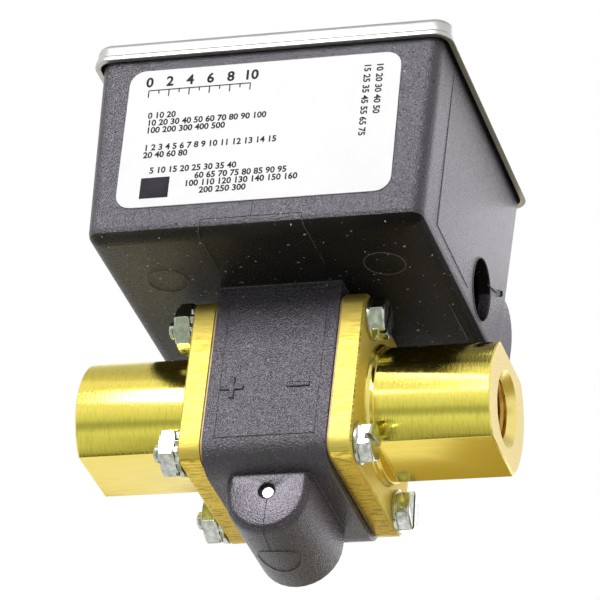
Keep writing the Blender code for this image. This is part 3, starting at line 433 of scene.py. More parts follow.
def edgeWear(tree, rounded, low, high):
    # Where the rounded normal leaves the true one, the edge has been rubbed
    geometry = tree.nodes.new("ShaderNodeNewGeometry")
    turn = tree.nodes.new("ShaderNodeVectorMath")
    turn.operation = "DOT_PRODUCT"
    tree.links.new(rounded, turn.inputs[0])
    tree.links.new(geometry.outputs["True Normal"], turn.inputs[1])
    return remap(tree, turn.outputs["Value"], high, low)


def bump(tree, height, strength, distance, normal=None):
    node = tree.nodes.new("ShaderNodeBump")
    node.inputs["Strength"].default_value = strength
    node.inputs["Distance"].default_value = distance
    tree.links.new(height, node.inputs["Height"])
    if normal is not None:
        tree.links.new(normal, node.inputs["Normal"])
    return node.outputs["Normal"]


def startMaterial(name):
    material = bpy.data.materials.new(name)
    material.use_nodes = True
    tree = material.node_tree
    return material, tree, tree.nodes["Principled BSDF"]


def mouldedPlastic(name, look):
    # Spark-eroded mould grain, slight blotches, pale dust in the grain and rubbed edges, and where
    # asked, painted shade that lowers the shine toward one end
    material, tree, shader = startMaterial(name)
    where = coordinates(tree)
    blotch = remap(tree, noise(tree, where, look["blotchScale"], 2), *cloudRange)
    grain = noise(tree, where, look["grainScale"], 2, 0.6)
    dust = remap(tree, noise(tree, where, look["dustScale"], 1, 0.5), *look["dustFrom"])
    colour = mixColour(tree, blotch, look["dark"], look["light"])
    dusty = combine(tree, "MULTIPLY", dust, look["dustAmount"])
    colour = mixColour(tree, dusty, colour, look["dust"])
    rounded = roundedNormal(tree, look["edge"])
    rubbed = combine(tree, "MULTIPLY", edgeWear(tree, rounded, *rubbedRange), look["rubAmount"])
    colour = mixColour(tree, rubbed, colour, look["rubbed"])
    tree.links.new(colour, shader.inputs["Base Color"])
    rough = remap(tree, grain, *grainRange, *look["roughness"])
    tree.links.new(rough, shader.inputs["Roughness"])
    relief = bump(tree, grain, look["bump"], look["depth"], rounded)
    tree.links.new(relief, shader.inputs["Normal"])
    pits = noise(tree, where, look["pitScale"], 2, 0.5)
    pits = remap(tree, pits, *look["pitFrom"], *look["pitShine"])
    mottle = remap(tree, grain, *grainRange, *look["mottle"])
    shine = combine(tree, "MULTIPLY", combine(tree, "MULTIPLY", pits, mottle), look["specular"])
    if "paintedShadeFade" in look:
        # Painted shade: less and less shine toward the right-hand end
        split = tree.nodes.new("ShaderNodeSeparateXYZ")
        tree.links.new(where, split.inputs[0])
        start, end, least = look["paintedShadeFade"]
        paintedShadeFade = remap(tree, split.outputs["X"], start, end, 1.0, least)
        shine = combine(tree, "MULTIPLY", shine, paintedShadeFade)
    tree.links.new(shine, shader.inputs["Specular IOR Level"])
    shader.inputs["Specular Tint"].default_value = (*look["sheen"], 1)
    return material


def machinedMetal(name, look):
    # Fine tool marks along one direction, slow colour drift and bright worn edges
    material, tree, shader = startMaterial(name)
    marks = noise(tree, coordinates(tree, look["stretch"]), 1.0, 4, 0.7)
    fine = noise(tree, coordinates(tree), look["fineScale"], 2, 0.6)
    drift = remap(tree, noise(tree, coordinates(tree), look["driftScale"], 3), *grainRange)
    streak = remap(tree, marks, *look["strokes"])
    colour = mixColour(tree, drift, look["dark"], look["light"])
    streaked = combine(tree, "MULTIPLY", streak, look["streakAmount"])
    colour = mixColour(tree, streaked, colour, look["streak"])
    rounded = roundedNormal(tree, look["edge"])
    rubbed = combine(tree, "MULTIPLY", edgeWear(tree, rounded, *rubbedRange), look["rubAmount"])
    colour = mixColour(tree, rubbed, colour, look["rubbed"])
    tree.links.new(colour, shader.inputs["Base Color"])
    shader.inputs["Metallic"].default_value = 1.0
    rough = remap(tree, marks, *grainRange, *look["roughness"])
    tree.links.new(rough, shader.inputs["Roughness"])
    height = combine(tree, "ADD", marks, combine(tree, "MULTIPLY", fine, look["fineAmount"]))
    relief = bump(tree, height, look["bump"], look["depth"], rounded)
    tree.links.new(relief, shader.inputs["Normal"])
    return material


def plainFilm(name, look, specular=0.5):
    # Smooth sheet or rubber with a faint cloudiness
    material, tree, shader = startMaterial(name)
    cloud = remap(tree, noise(tree, coordinates(tree), look["cloudScale"], 3), *cloudRange)
    fine = noise(tree, coordinates(tree), look["fineScale"], 2)
    colour = mixColour(tree, cloud, look["dark"], look["light"])
    tree.links.new(colour, shader.inputs["Base Color"])
    rough = remap(tree, fine, *grainRange, *look["roughness"])
    tree.links.new(rough, shader.inputs["Roughness"])
    relief = bump(tree, fine, look["bump"], look["depth"], roundedNormal(tree, look["edge"]))
    tree.links.new(relief, shader.inputs["Normal"])
    shader.inputs["Specular IOR Level"].default_value = specular
    return material


blackMoulding = {
    "dark": (0.011, 0.010, 0.013),
    "light": (0.022, 0.018, 0.026),
    "sheen": (0.95, 0.89, 1.0),
    "specular": 0.98,
    "dust": (0.62, 0.60, 0.62),
    "dustAmount": 0.55,
    "dustScale": 1700,
    "blotchScale": 70,
    "dustFrom": (0.755, 0.795),
    "grainScale": 3200,
    "pitScale": 1300,
    "pitFrom": (0.25, 0.29),
    "pitShine": (0.08, 1.0),
    "mottle": (0.82, 1.12),
    "rubbed": (0.10, 0.10, 0.11),
    "rubAmount": 0.5,
    "roughness": (0.18, 0.30),
    "edge": 0.0004,
    "bump": 1.0,
    "depth": 0.00020,
}
# Painted shade: a darker copy of the moulding with weaker shine tinted warm like the brass it
# reflects, for the underside of the box
paintedShadeMoulding = dict(
    blackMoulding,
    dark=(0.006, 0.006, 0.006),
    light=(0.012, 0.011, 0.009),
    specular=0.30,
    sheen=(1.0, 0.92, 0.72),
    paintedShadeFade=(-0.026, 0.014, 0.15),
    dustAmount=0.8,
    dustScale=1250,
    dustFrom=(0.745, 0.775),
)
smoothMoulding = dict(blackMoulding, specular=0.74, bump=0.40, pitFrom=(0.10, 0.20))
markEdge = dict(blackMoulding, dark=(0.06, 0.06, 0.05), light=(0.12, 0.12, 0.10), dustAmount=0.1)
turnedBrass = {
    "stretch": (2600, 420, 420),
    "strokes": (0.48, 0.80),
    "fineScale": 2600,
    "driftScale": 45,
    "dark": (0.90, 0.75, 0.13),
    "light": (0.96, 0.82, 0.17),
    "streak": (0.50, 0.38, 0.06),
    "streakAmount": 0.6,
    "rubbed": (0.99, 0.92, 0.50),
    "rubAmount": 0.5,
    "roughness": (0.06, 0.17),
    "fineAmount": 0.25,
    "edge": 0.00015,
    "bump": 0.45,
    "depth": 0.00005,
}
smoothBrass = dict(
    turnedBrass,
    stretch=(160, 900, 900),
    strokes=(0.38, 0.62),
    dark=(0.90, 0.72, 0.14),
    light=(0.95, 0.77, 0.18),
    streak=(0.86, 0.66, 0.11),
    streakAmount=0.4,
    roughness=(0.14, 0.22),
    bump=0.2,
    depth=0.00003,
)
facedBrass = dict(
    smoothBrass,
    stretch=(900, 900, 900),
    dark=(0.87, 0.71, 0.23),
    light=(0.92, 0.77, 0.28),
    streak=(0.86, 0.68, 0.18),
    roughness=(0.22, 0.32),
)
milledBrass = dict(
    turnedBrass,
    stretch=(420, 420, 2600),
    dark=(0.60, 0.47, 0.10),
    light=(0.74, 0.62, 0.16),
    strokes=(0.45, 0.72),
    streak=(0.58, 0.40, 0.05),
    streakAmount=0.6,
    roughness=(0.46, 0.66),
    bump=0.9,
)
sawnBrass = dict(
    milledBrass,
    stretch=(300, 2200, 2200),
    dark=(0.72, 0.52, 0.08),
    light=(0.92, 0.72, 0.12),
    streak=(0.30, 0.19, 0.03),
    strokes=(0.46, 0.60),
    streakAmount=0.75,
    roughness=(0.18, 0.34),
)
tickedBrass = dict(
    milledBrass,
    stretch=(200, 200, 3600),
    strokes=(0.46, 0.54),
    streak=(0.30, 0.20, 0.03),
    streakAmount=0.8,
)
# Painted shade: the brass in the bore and on its threads is darker and redder than on the bar,
# standing in for the shade inside the bore
boreBrass = dict(
    turnedBrass,
    stretch=(3000, 300, 300),
    dark=(0.34, 0.17, 0.03),
    light=(0.58, 0.36, 0.08),
    streak=(0.20, 0.09, 0.02),
    rubbed=(0.95, 0.80, 0.35),
    roughness=(0.15, 0.28),
)
zincPlate = {
    "stretch": (900, 900, 900),
    "strokes": (0.38, 0.62),
    "fineScale": 3000,
    "driftScale": 260,
    "dark": (0.46, 0.50, 0.45),
    "light": (0.76, 0.80, 0.75),
    "streak": (0.26, 0.26, 0.20),
    "streakAmount": 0.55,
    "rubbed": (0.95, 0.95, 0.93),
    "rubAmount": 0.5,
    "roughness": (0.12, 0.28),
    "fineAmount": 0.4,
    "edge": 0.00015,
    "bump": 0.25,
    "depth": 0.00004,
}
brightSheet = {
    "stretch": (120, 1800, 1800),
    "strokes": (0.38, 0.62),
    "fineScale": 2400,
    "driftScale": 45,
    "dark": (0.54, 0.54, 0.53),
    "light": (0.64, 0.64, 0.63),
    "streak": (0.44, 0.44, 0.42),
    "streakAmount": 0.25,
    "rubbed": (0.97, 0.97, 0.97),
    "rubAmount": 0.5,
    "roughness": (0.28, 0.40),
    "fineAmount": 0.25,
    "edge": 0.0003,
    "bump": 0.12,
    "depth": 0.00003,
}
plainSteel = dict(
    brightSheet,
    stretch=(900, 900, 120),
    dark=(0.48, 0.49, 0.50),
    light=(0.60, 0.61, 0.62),
    streak=(0.42, 0.41, 0.39),
    roughness=(0.24, 0.38),
    edge=0.00015,
)
amberSheet = {
    "dark": (0.52, 0.33, 0.10),
    "light": (0.70, 0.50, 0.22),
    "cloudScale": 180,
    "fineScale": 1500,
    "roughness": (0.30, 0.42),
    "edge": 0.0001,
    "bump": 0.1,
    "depth": 0.00003,
}
whiteFilm = {
    "dark": (0.79, 0.79, 0.795),
    "light": (0.81, 0.81, 0.81),
    "cloudScale": 60,
    "fineScale": 900,
    "roughness": (0.45, 0.55),
    "edge": 0.00008,
    "bump": 0.05,
    "depth": 0.00003,
}
greyRubber = dict(
    amberSheet,
    dark=(0.045, 0.045, 0.045),
    light=(0.075, 0.075, 0.075),
    roughness=(0.7, 0.85),
    bump=0.3,
)
smoothBlack = dict(
    amberSheet,
    dark=(0.018, 0.018, 0.022),
    light=(0.030, 0.030, 0.034),
    roughness=(0.28, 0.40),
    bump=0.15,
)
redPlunger = dict(
    amberSheet,
    dark=(0.30, 0.020, 0.018),
    light=(0.40, 0.035, 0.028),
    roughness=(0.25, 0.35),
)
printInk = dict(
    smoothBlack,
    dark=(0.022, 0.020, 0.026),
    light=(0.036, 0.032, 0.042),
    roughness=(0.6, 0.7),
)

finishes = {
    "housing": mouldedPlastic("blackMoulding", blackMoulding),
    "underside": mouldedPlastic("paintedShadeMoulding", paintedShadeMoulding),
    "bossFace": mouldedPlastic("smoothMoulding", smoothMoulding),
    "markEdge": mouldedPlastic("markEdge", markEdge),
    "port": machinedMetal("turnedBrass", turnedBrass),
    "flat": machinedMetal("smoothBrass", smoothBrass),
    "face": machinedMetal("facedBrass", facedBrass),
    "milled": machinedMetal("milledBrass", milledBrass),
    "sawn": machinedMetal("sawnBrass", sawnBrass),
    "ticked": machinedMetal("tickedBrass", tickedBrass),
    "bore": machinedMetal("boreBrass", boreBrass),
    "zinc": machinedMetal("zincPlate", zincPlate),
    "cover": machinedMetal("brightSheet", brightSheet),
    "steel": machinedMetal("plainSteel", plainSteel),
    "nutBrass": machinedMetal("nutBrass", dict(turnedBrass, stretch=(900, 900, 900))),
    "diaphragm": plainFilm("amberSheet", amberSheet),
    "label": plainFilm("whiteFilm", whiteFilm, 0.2),
    "gasket": plainFilm("greyRubber", greyRubber),
    "switchCase": plainFilm("smoothBlack", smoothBlack),
    "plunger": plainFilm("redPlunger", redPlunger),
}
finishOf = {
    "housing": "housing",
    "high_port": "port",
    "low_port": "port",
    "high_diaphragm": "diaphragm",
    "low_diaphragm": "diaphragm",
    "cover": "cover",
    "cover_gasket": "gasket",
    "label": "label",
    "pivot_pin": "cover",
    "mechanism_bracket": "steel",
    "snap_switch_case": "switchCase",
    "snap_switch_plunger": "plunger",
    "terminal_common": "nutBrass",
    "terminal_open": "nutBrass",
    "terminal_closed": "nutBrass",
    "adjusting_nut": "nutBrass",
    "range_locknut": "nutBrass",
    "lever": "steel",
    "high_piston": "steel",
    "low_piston": "steel",
    "range_spring": "steel",
}
# Edges are broken by this much on the pieces that show, in millimetres
brokenEdge = {
    "housing": 0.14,
    "high_port": 0.16,
    "low_port": 0.16,
    "cover": 0.10,
    "label": 0.03,
    "pivot_pin": 0.08,
    "flange_screw": 0.10,
    "flange_nut": 0.10,
    "lock_washer": 0.05,
    "high_diaphragm": 0.03,
    "low_diaphragm": 0.03,
    "cover_screw": 0.08,
}
# Points closer than merge (metres) become one, faces within flat (degrees) become one,
# and edges past sharp (degrees) are broken
softening = {"merge": 2e-6, "flat": 0.5, "sharp": 32, "segments": 2}


def bodyOf(name):
    return nodes[name]["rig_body"]


def softenedCopy(name, edge):
    # A smooth-shaded copy of a finished solid with its sharp edges broken
    bm = bmesh.new()
    bm.from_mesh(nodes[name].data)
    bmesh.ops.remove_doubles(bm, verts=bm.verts, dist=softening["merge"])
    flat = math.radians(softening["flat"])
    sharp = math.radians(softening["sharp"])
    bmesh.ops.dissolve_limit(bm, angle_limit=flat, verts=bm.verts, edges=bm.edges)
    bmesh.ops.recalc_face_normals(bm, faces=bm.faces)
    mesh = bpy.data.meshes.new(name + "Look")
    bm.to_mesh(mesh)
    bm.free()
    mesh.polygons.foreach_set("use_smooth", [True] * len(mesh.polygons))
    mesh.set_sharp_from_angle(angle=sharp)
    piece = bpy.data.objects.new(name + "Look", mesh)
    scene.collection.objects.link(piece)
    bevel = piece.modifiers.new("brokenEdges", "BEVEL")
    bevel.width = edge / 1000
    bevel.segments = softening["segments"]
    bevel.limit_method = "ANGLE"
    bevel.angle_limit = sharp
    bevel.use_clamp_overlap = True
    bevel.harden_normals = True
    return piece


# Which faces of the ports have which finish: levels and radii in millimetres, and slopes
portZones = {
    "names": ("port", "flat", "face", "milled", "sawn", "ticked", "bore"),
    "flangeOut": 16.75,
    "flatLevel": 9.9,
    "boreMouth": 5.8,
    "boreRadius": 7.4,
    "underSlope": -0.85,
    "chamferSlope": (0.3, 0.95),
    "chamferRise": 0.5,
    "boreSlope": -0.1,
    "endSlope": 0.9,
    "flatSlope": 0.99,
}
housingZones = {
    "names": ("housing", "underside", "bossFace"),
    "underSlope": -0.35,
    "underLevel": 15,
    "bossSlope": -0.95,
    "bossTop": -14,
    "bossBack": -16,
}


def portZone(centre, normal):
    # A face belongs to the flange, the bar, its flats, the end face or the bore
    z = portZones
    place = (centre - at(0, 0, 0)) * 1000
    radius = math.hypot(place.y, place.z)
    low, high = z["chamferSlope"]
    if abs(place.x) < z["flangeOut"]:
        if normal.z < z["underSlope"]:
            return "sawn"
        if low < abs(normal.x) < high and abs(normal.z) < z["chamferRise"]:
            return "ticked"
        return "milled"
    if abs(normal.x) > low and radius > z["boreMouth"]:
        return "face"
    if normal.y * place.y + normal.z * place.z < z["boreSlope"] and radius < z["boreRadius"]:
        return "bore"
    if abs(normal.x) > z["endSlope"]:
        return "face"
    if abs(normal.z) > z["flatSlope"] and abs(place.z) > z["flatLevel"]:
        return "flat"
    return "port"


def housingZone(centre, normal):
    # The underside of the box gets painted shade (a darker colour and weaker shine), the boss's
    # face is smoother
    z = housingZones
    place = (centre - at(0, 0, 0)) * 1000
    if normal.z < z["underSlope"] and place.z > z["underLevel"]:
        return "underside"
    if normal.y < z["bossSlope"] and place.z < z["bossTop"] and place.y > z["bossBack"]:
        return "bossFace"
    return "housing"


def dressByZone(piece, zones, zoneOf):
    for zone in zones:
        piece.data.materials.append(finishes[zone])
    for polygon in piece.data.polygons:
        polygon.material_index = zones.index(zoneOf(polygon.center, polygon.normal))


def dressNodes():
    for name, node in nodes.items():
        finish = finishOf.get(name, "zinc")
        material = finishes[finish]
        if not node.material_slots:
            node.data.materials.append(material)
        for slot in node.material_slots:
            slot.material = material
        edge = [width for start, width in brokenEdge.items() if name.startswith(start)]
        if not edge:
            continue
        piece = softenedCopy(name, edge[0])
        if finish == "port":
            dressByZone(piece, portZones["names"], portZone)
        elif finish == "housing":
            dressByZone(piece, housingZones["names"], housingZone)
        else:
            piece.data.materials.append(material)
        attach(piece, bodyOf(name))
        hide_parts(name)


dressNodes()
print("nodes dressed")


# New pieces
pieceMerge = 1e-7


def finishPiece(name, bm, material, body, smoothAngle=40):
    bmesh.ops.remove_doubles(bm, verts=bm.verts, dist=pieceMerge)
    bmesh.ops.recalc_face_normals(bm, faces=bm.faces)
    mesh = bpy.data.meshes.new(name)
    bm.to_mesh(mesh)
    bm.free()
    mesh.polygons.foreach_set("use_smooth", [True] * len(mesh.polygons))
    mesh.set_sharp_from_angle(angle=math.radians(smoothAngle))
    mesh.materials.append(material)
    piece = bpy.data.objects.new(name, mesh)
    scene.collection.objects.link(piece)
    if body is not None:
        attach(piece, body)
    return piece


def meshOf(holder):
    # The mesh that a line or a text makes, and the holder goes
    bpy.context.view_layer.update()
    depsgraph = bpy.context.evaluated_depsgraph_get()
    mesh = bpy.data.meshes.new_from_object(holder.evaluated_get(depsgraph))
    bpy.data.objects.remove(holder)
    return mesh


def tube(name, points, radius, material, body, sides=2, closed=False):
    # A round bead or wire along a line, turned into a mesh
    curve = bpy.data.curves.new(name, "CURVE")
    curve.dimensions = "3D"
    curve.bevel_depth = radius
    curve.bevel_resolution = sides
    curve.use_fill_caps = True
    line = curve.splines.new("POLY")
    line.points.add(len(points) - 1)
    for target, point in zip(line.points, points):
        target.co = (*point, 1)
    line.use_cyclic_u = closed
    holder = bpy.data.objects.new(name + "Line", curve)
    scene.collection.objects.link(holder)
    mesh = meshOf(holder)
    bm = bmesh.new()
    bm.from_mesh(mesh)
    bpy.data.meshes.remove(mesh)
    return finishPiece(name, bm, material, body)


# Screw threads: a ridge turned and fed along the axis, its half width as a share of the pitch
# and its flat crest as a share of that half
threadForm = {"half": 0.42, "crest": 0.12}
portThread = {
    "wallRadius": 0.00580,
    "crestRadius": 0.00515,
    "pitch": 0.00141,
    "from": 0.0256,
    "to": 0.0386,
    "steps": 36,
}
screwThread = {
    "wallRadius": 0.00165,
    "crestRadius": 0.00184,
    "pitch": 0.0007,
    "nutGap": 0.0001,
    "tip": 0.0003,
    "steps": 24,
}
corners = ("top_front", "top_rear", "bottom_front", "bottom_rear")


def threadRidge(axis, centre, look, low, high):
    bm = bmesh.new()
    half = look["pitch"] * threadForm["half"]
    wall = Vector((0, look["wallRadius"], 0))
    crest = Vector((0, look["crestRadius"], 0))
    start = centre + axis * (low + half)
    profile = [
        bm.verts.new(start + wall - axis * half),
        bm.verts.new(start + crest - axis * half * threadForm["crest"]),
        bm.verts.new(start + crest + axis * half * threadForm["crest"]),
        bm.verts.new(start + wall + axis * half),
    ]
    end = bm.faces.new(profile)
    turns = (high - low - 2 * half) / look["pitch"]
    count = max(8, int(round(turns * look["steps"])))
    bmesh.ops.spin(
        bm,
        geom=profile + list(end.edges) + [end],
        cent=centre,
        axis=axis,
        dvec=axis * (look["pitch"] * turns / count),
        angle=2 * math.pi * turns,
        steps=count,
        use_merge=False,
        use_duplicate=False,
    )
    return bm


def makeThreads():
    p, s = portThread, screwThread
    for name, side in (("high", -1), ("low", 1)):
        bm = threadRidge(Vector((side, 0, 0)), at(0, 0, 0), p, p["from"], p["to"])
        finishPiece(name + "PortThread", bm, finishes["bore"], "switch_body", 50)
    for corner in corners:
        low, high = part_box("flange_screw_" + corner)
        nutLow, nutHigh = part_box("flange_nut_" + corner)
        centre = (nutLow + nutHigh) / 2
        centre.x = 0
        near, far = -nutLow.x + s["nutGap"], -low.x - s["tip"]
        bm = threadRidge(Vector((-1, 0, 0)), centre, s, near, far)
        finishPiece("screwThread_" + corner, bm, finishes["zinc"], "switch_body", 50)


makeThreads()
print("threads cut")

# Generic print on the label: a graduated scale, rows of plain numbers and a dark block
labelPrint = {
    "front": 38.4,
    "draft": 0.030,
    "bottom": 18.7,
    "proud": 0.27,
    "thick": 0.02,
    "rowSize": 1.8,
    "boldness": 0.028,
    "scaleLeft": -23.0,
    "scaleStep": 4.0,
    "scaleLevel": 50.2,
    "scaleNumbers": 6,
    "lineWide": 0.22,
    "longTick": 1.5,
    "shortTick": 0.8,
    "digitRise": 1.7,
    "digitSize": 2.9,
    "block": (-19.6, 28.9, 5.6, 4.4),
}
# Plain numbers, each row as x, z of its start and the text; the columns run down the right-hand end
numberRows = (
    (-22.6, 44.6, "0 10 20"),
    (-22.6, 43.0, "10 20 30 40 50 60 70 80 90 100"),
    (-22.6, 41.4, "100 200 300 400 500"),
    (-22.6, 37.6, "1 2 3 4 5 6 7 8 9 10 11 12 13 14 15"),
    (-22.6, 36.0, "20 40 60 80"),
    (-21.0, 32.6, "5 10 15 20 25 30 35 40"),
    (-12.0, 30.9, "60 65 70 75 80 85 90 95"),
    (-13.8, 29.3, "100 110 120 130 140 150 160"),
    (-10.8, 27.7, "200 250 300"),
)
numberColumns = ((22.0, 52.4, "10 20 30 40 50"), (19.6, 52.4, "15 25 35 45 55 65 75"))


def onLabel(x, z):
    look = labelPrint
    return at(x, -(look["front"] + look["draft"] * (z - look["bottom"]) + look["proud"]), z)


def addBar(bm, x, z, wide, high):
    # A thin printed bar with its middle at x, z
    verts = bmesh.ops.create_cube(bm, size=1.0)["verts"]
    size = (wide / 1000, labelPrint["thick"] / 1000, high / 1000)
    bmesh.ops.scale(bm, vec=size, verts=verts)
    lean = Matrix.Rotation(math.atan(labelPrint["draft"]), 3, "X")
    bmesh.ops.rotate(bm, cent=(0, 0, 0), matrix=lean, verts=verts)
    bmesh.ops.translate(bm, vec=onLabel(x, z), verts=verts)


def addDigits(bm, text, x, z, size, align="CENTER", turn=0):
    # Plain numbers, made from Blender's own font and laid on the sloping face
    curve = bpy.data.curves.new("digits", "FONT")
    curve.body = text
    curve.size = size / 1000
    curve.align_x = align
    curve.align_y = "CENTER"
    curve.extrude = labelPrint["thick"] / 2000
    curve.offset = size * labelPrint["boldness"] / 1000
    curve.resolution_u = 3
    holder = bpy.data.objects.new("digits", curve)
    scene.collection.objects.link(holder)
    mesh = meshOf(holder)
    lean = Matrix.Rotation(math.radians(90) + math.atan(labelPrint["draft"]), 4, "X")
    spun = Matrix.Rotation(math.radians(turn), 4, "Z")
    mesh.transform(Matrix.Translation(onLabel(x, z)) @ lean @ spun)
    bm.from_mesh(mesh)
    bpy.data.meshes.remove(mesh)


def makeLabelPrint():
    look = labelPrint
    ink = plainFilm("printInk", printInk, 0.1)
    left, step, level = look["scaleLeft"], look["scaleStep"], look["scaleLevel"]
    count, line = look["scaleNumbers"], look["lineWide"]
    bm = bmesh.new()
    addBar(bm, left + (count - 1) * step / 2, level, (count - 1) * step, line)
    for k in range(2 * count - 1):
        high = look["longTick"] if k % 2 == 0 else look["shortTick"]
        addBar(bm, left + k * step / 2, level - high / 2, line, high)
    for k in range(count):
        addDigits(bm, str(2 * k), left + k * step, level + look["digitRise"], look["digitSize"])
    finishPiece("labelScale", bm, ink, "switch_body")

    bm = bmesh.new()
    for x, z, text in numberRows:
        addDigits(bm, text, x, z, look["rowSize"], "LEFT")
    for x, z, text in numberColumns:
        addDigits(bm, text, x, z, look["rowSize"], "LEFT", -90)
    finishPiece("labelNumbers", bm, ink, "switch_body")
    bm = bmesh.new()
    addBar(bm, *look["block"])
    finishPiece("labelBlock", bm, ink, "switch_body")


makeLabelPrint()
print("label printed")

# Moulded marks on the housing: beads by their radius in metres, the rest in millimetres
mouldMarks = {
    "bead": 0.00009,
    "fineBead": 0.00010,
    "frameHalf": 9.6,
    "frameLow": -13.3,
    "frameHigh": 17.6,
    "neckFront": -18.65,
    "signs": (("plusSign", -7.2, True), ("minusSign", 5.6, False)),
    "signBevel": 0.00010,
    "signHigh": 4.4,
    "signWide": 0.95,
    "signProud": 0.34,
    "signMiddle": -3.0,
    "flashRadius": 0.00016,
    "entryFlash": (
        (6.6, 31.3, -0.35),
        (7.5, 31.2, 0.04),
        (9.8, 31.9, 0.14),
        (12.1, 32.7, 0.16),
        (13.6, 34.0, 0.16),
        (14.8, 34.6, 0.16),
        (15.3, 33.8, 0.16),
        (14.6, 33.2, 0.16),
    ),
    "entryRim": (2.4, 27.6, 6.15),
    "entryBead": 0.00014,
    "ejectorMarks": (("ejectorMarkLeft", -21.1, -22.3), ("ejectorMarkRight", 21.5, -23.6)),
    "ejectorRadius": 3.9,
    "ejectorLevel": 18.7,
}

# Thin raised lines where inserts of the mould met, each as points in millimetres
witnessLines = {
    "sideInsertLine": ((33.42, -30.1, 55.6), (32.46, -28.6, 23.2), (32.44, -6.1, 23.1)),
    "frontInsertLine": (
        (-10.3, -24.6, 18.7),
        (-10.3, -37.0, 18.7),
        (-10.2, -37.98, 19.1),
        (-10.1, -38.42, 20.0),
        (-10.0, -38.50, 21.6),
        (9.6, -38.50, 21.6),
        (9.8, -38.42, 20.0),
        (10.0, -37.98, 19.1),
        (10.3, -37.0, 18.7),
        (10.3, -24.6, 18.7),
    ),
    "bossPartingLine": (
        (0.25, -13.7, -24.0),
        (0.14, -13.7, -26.2),
        (0.12, -13.68, -29.2),
        (0.10, -13.2, -30.2),
        (-0.1, -12.4, -30.5),
        (-0.75, -6.1, -30.46),
    ),
    "frontCentreLine": ((-0.2, -38.50, 21.6), (-0.2, -38.59, 24.5)),
    "bottomInsertLine": ((29.6, -8.0, 18.7), (29.8, 5.6, 18.7)),
}
sideLook = {"reach": 32.3, "draft": 0.030, "bottom": 18.7}
bossLook = {"middleZ": -22.3, "radius": 8.2, "markMiddle": (-0.4, -1.5), "markRadius": 4.1}


def roundOffsets(radius, step):
    turns = [math.radians(a) for a in range(0, 360, step)]
    return [(radius * math.cos(a), radius * math.sin(a)) for a in turns]


def onSide(y, z, out=0.0):
    # A point on the sloping right-hand side of the box
    return at(sideLook["reach"] + sideLook["draft"] * (z - sideLook["bottom"]) + out, y, z)


def underBoss(x, y):
    # The point of the rounded boss right below x, y
    return at(x, y, bossLook["middleZ"] - math.sqrt(bossLook["radius"] ** 2 - x * x))


def newVerts(result):
    return [item for item in result["geom"] if isinstance(item, bmesh.types.BMVert)]


def raisedSign(x, y, upright):
    # A square pulled out into arms, thickened and bevelled, so a sign is one clean body
    m = mouldMarks
    bm = bmesh.new()
    bmesh.ops.create_grid(bm, x_segments=1, y_segments=1, size=m["signWide"] / 2000)
    reach = (m["signHigh"] - m["signWide"]) / 2000
    for edge in list(bm.edges):
        out = (edge.verts[0].co + edge.verts[1].co).normalized()
        if abs(out.x) < 0.5 and not upright:
            continue
        arm = newVerts(bmesh.ops.extrude_edge_only(bm, edges=[edge]))
        bmesh.ops.translate(bm, vec=out * reach, verts=arm)
    lifted = newVerts(bmesh.ops.extrude_face_region(bm, geom=bm.faces[:]))
    bmesh.ops.translate(bm, vec=(0, 0, 2 * m["signProud"] / 1000), verts=lifted)
    top = [e for e in bm.edges if all(v in lifted for v in e.verts) and len(e.link_faces) == 2]
    rim = [edge for edge in top if edge.calc_face_angle(0) > 1]
    bmesh.ops.bevel(
        bm,
        geom=rim,
        offset=m["signBevel"],
        segments=2,
        profile=0.5,
        affect="EDGES",
        material=-1,
    )
    turn = Matrix.Rotation(math.radians(90), 4, "X")
    place = Matrix.Translation(at(x, y + m["signProud"], m["signMiddle"]))
    bmesh.ops.transform(bm, matrix=place @ turn, verts=bm.verts)
    return bm


def raiseLine(name, points, radius, material, closed=False):
    tube(name, points, radius, material, "switch_body", closed=closed)


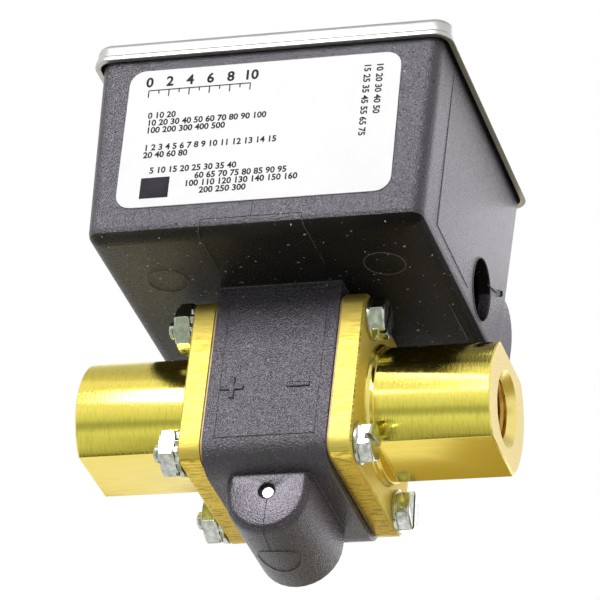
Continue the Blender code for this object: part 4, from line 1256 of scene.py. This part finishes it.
def makeMouldMarks():
    plastic, pale = finishes["housing"], finishes["markEdge"]
    m = mouldMarks
    y = m["neckFront"]
    half, low, high = m["frameHalf"], m["frameLow"], m["frameHigh"]
    flash = [onSide(*point) for point in m["entryFlash"]]
    raiseLine("entryFlash", flash, m["flashRadius"], finishes["switchCase"])
    frameLine = [at(x, y, z) for x, z in ((-half, high), (-half, low), (half, low), (half, high))]
    raiseLine("neckFrameLine", frameLine, m["fineBead"], plastic, True)
    rimY, rimZ, reach = m["entryRim"]
    rim = [onSide(rimY + u, rimZ + v) for u, v in roundOffsets(reach, 10)]
    raiseLine("entryRim", rim, m["entryBead"], plastic, True)
    for name, x, upright in m["signs"]:
        sign = raisedSign(x, y, upright)
        finishPiece(name, sign, plastic, "switch_body", 30)
    for name, x, ringY in m["ejectorMarks"]:
        offsets = roundOffsets(m["ejectorRadius"], 12)
        ring = [at(x + u, ringY + v, m["ejectorLevel"]) for u, v in offsets]
        raiseLine(name, ring, m["bead"], pale, True)
    midX, midY = bossLook["markMiddle"]
    ring = [underBoss(midX + u, midY + v) for u, v in roundOffsets(bossLook["markRadius"], 12)]
    raiseLine("bossEjectorMark", ring, m["bead"], plastic, True)
    for name, line in witnessLines.items():
        raiseLine(name, [at(*point) for point in line], m["bead"], plastic)


makeMouldMarks()
print("mould marks raised")

# Range spring: a finer coil, made in two halves
springLook = {
    "start": 1.3,
    "length": 9.2,
    "radius": 3.5,
    "wire": 0.45,
    "turns": 6,
    "level": 44.0,
    "closed": 2.05,
    "perTurn": 40,
}


def makeSpring():
    s = springLook
    count = s["turns"] * s["perTurn"]
    closePitch = s["closed"] * s["wire"]
    openPitch = (s["length"] - 2 * s["wire"] - 2 * closePitch) / (s["turns"] - 2)
    points = []
    for k in range(count + 1):
        turns = k / s["perTurn"]
        opened = min(max(turns - 1, 0.0), s["turns"] - 2.0)
        x = s["start"] + s["wire"] + opened * openPitch + (turns - opened) * closePitch
        angle = 2 * math.pi * turns
        y, z = s["radius"] * math.cos(angle), s["level"] + s["radius"] * math.sin(angle)
        points.append(at(x, y, z))
    middle = count // 2
    halves = (
        ("rangeSpringLeverEnd", points[: middle + 1], ("lever_body", "switch_body")),
        ("rangeSpringSeatEnd", points[middle:], ("switch_body", "seat_body")),
    )
    for name, line, bodies in halves:
        piece = tube(name, line, s["wire"] / 1000, finishes["steel"], None, sides=3)
        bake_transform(piece)
        if bodies[1] == "seat_body":
            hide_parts("range_spring")


makeSpring()
print("range spring wound")
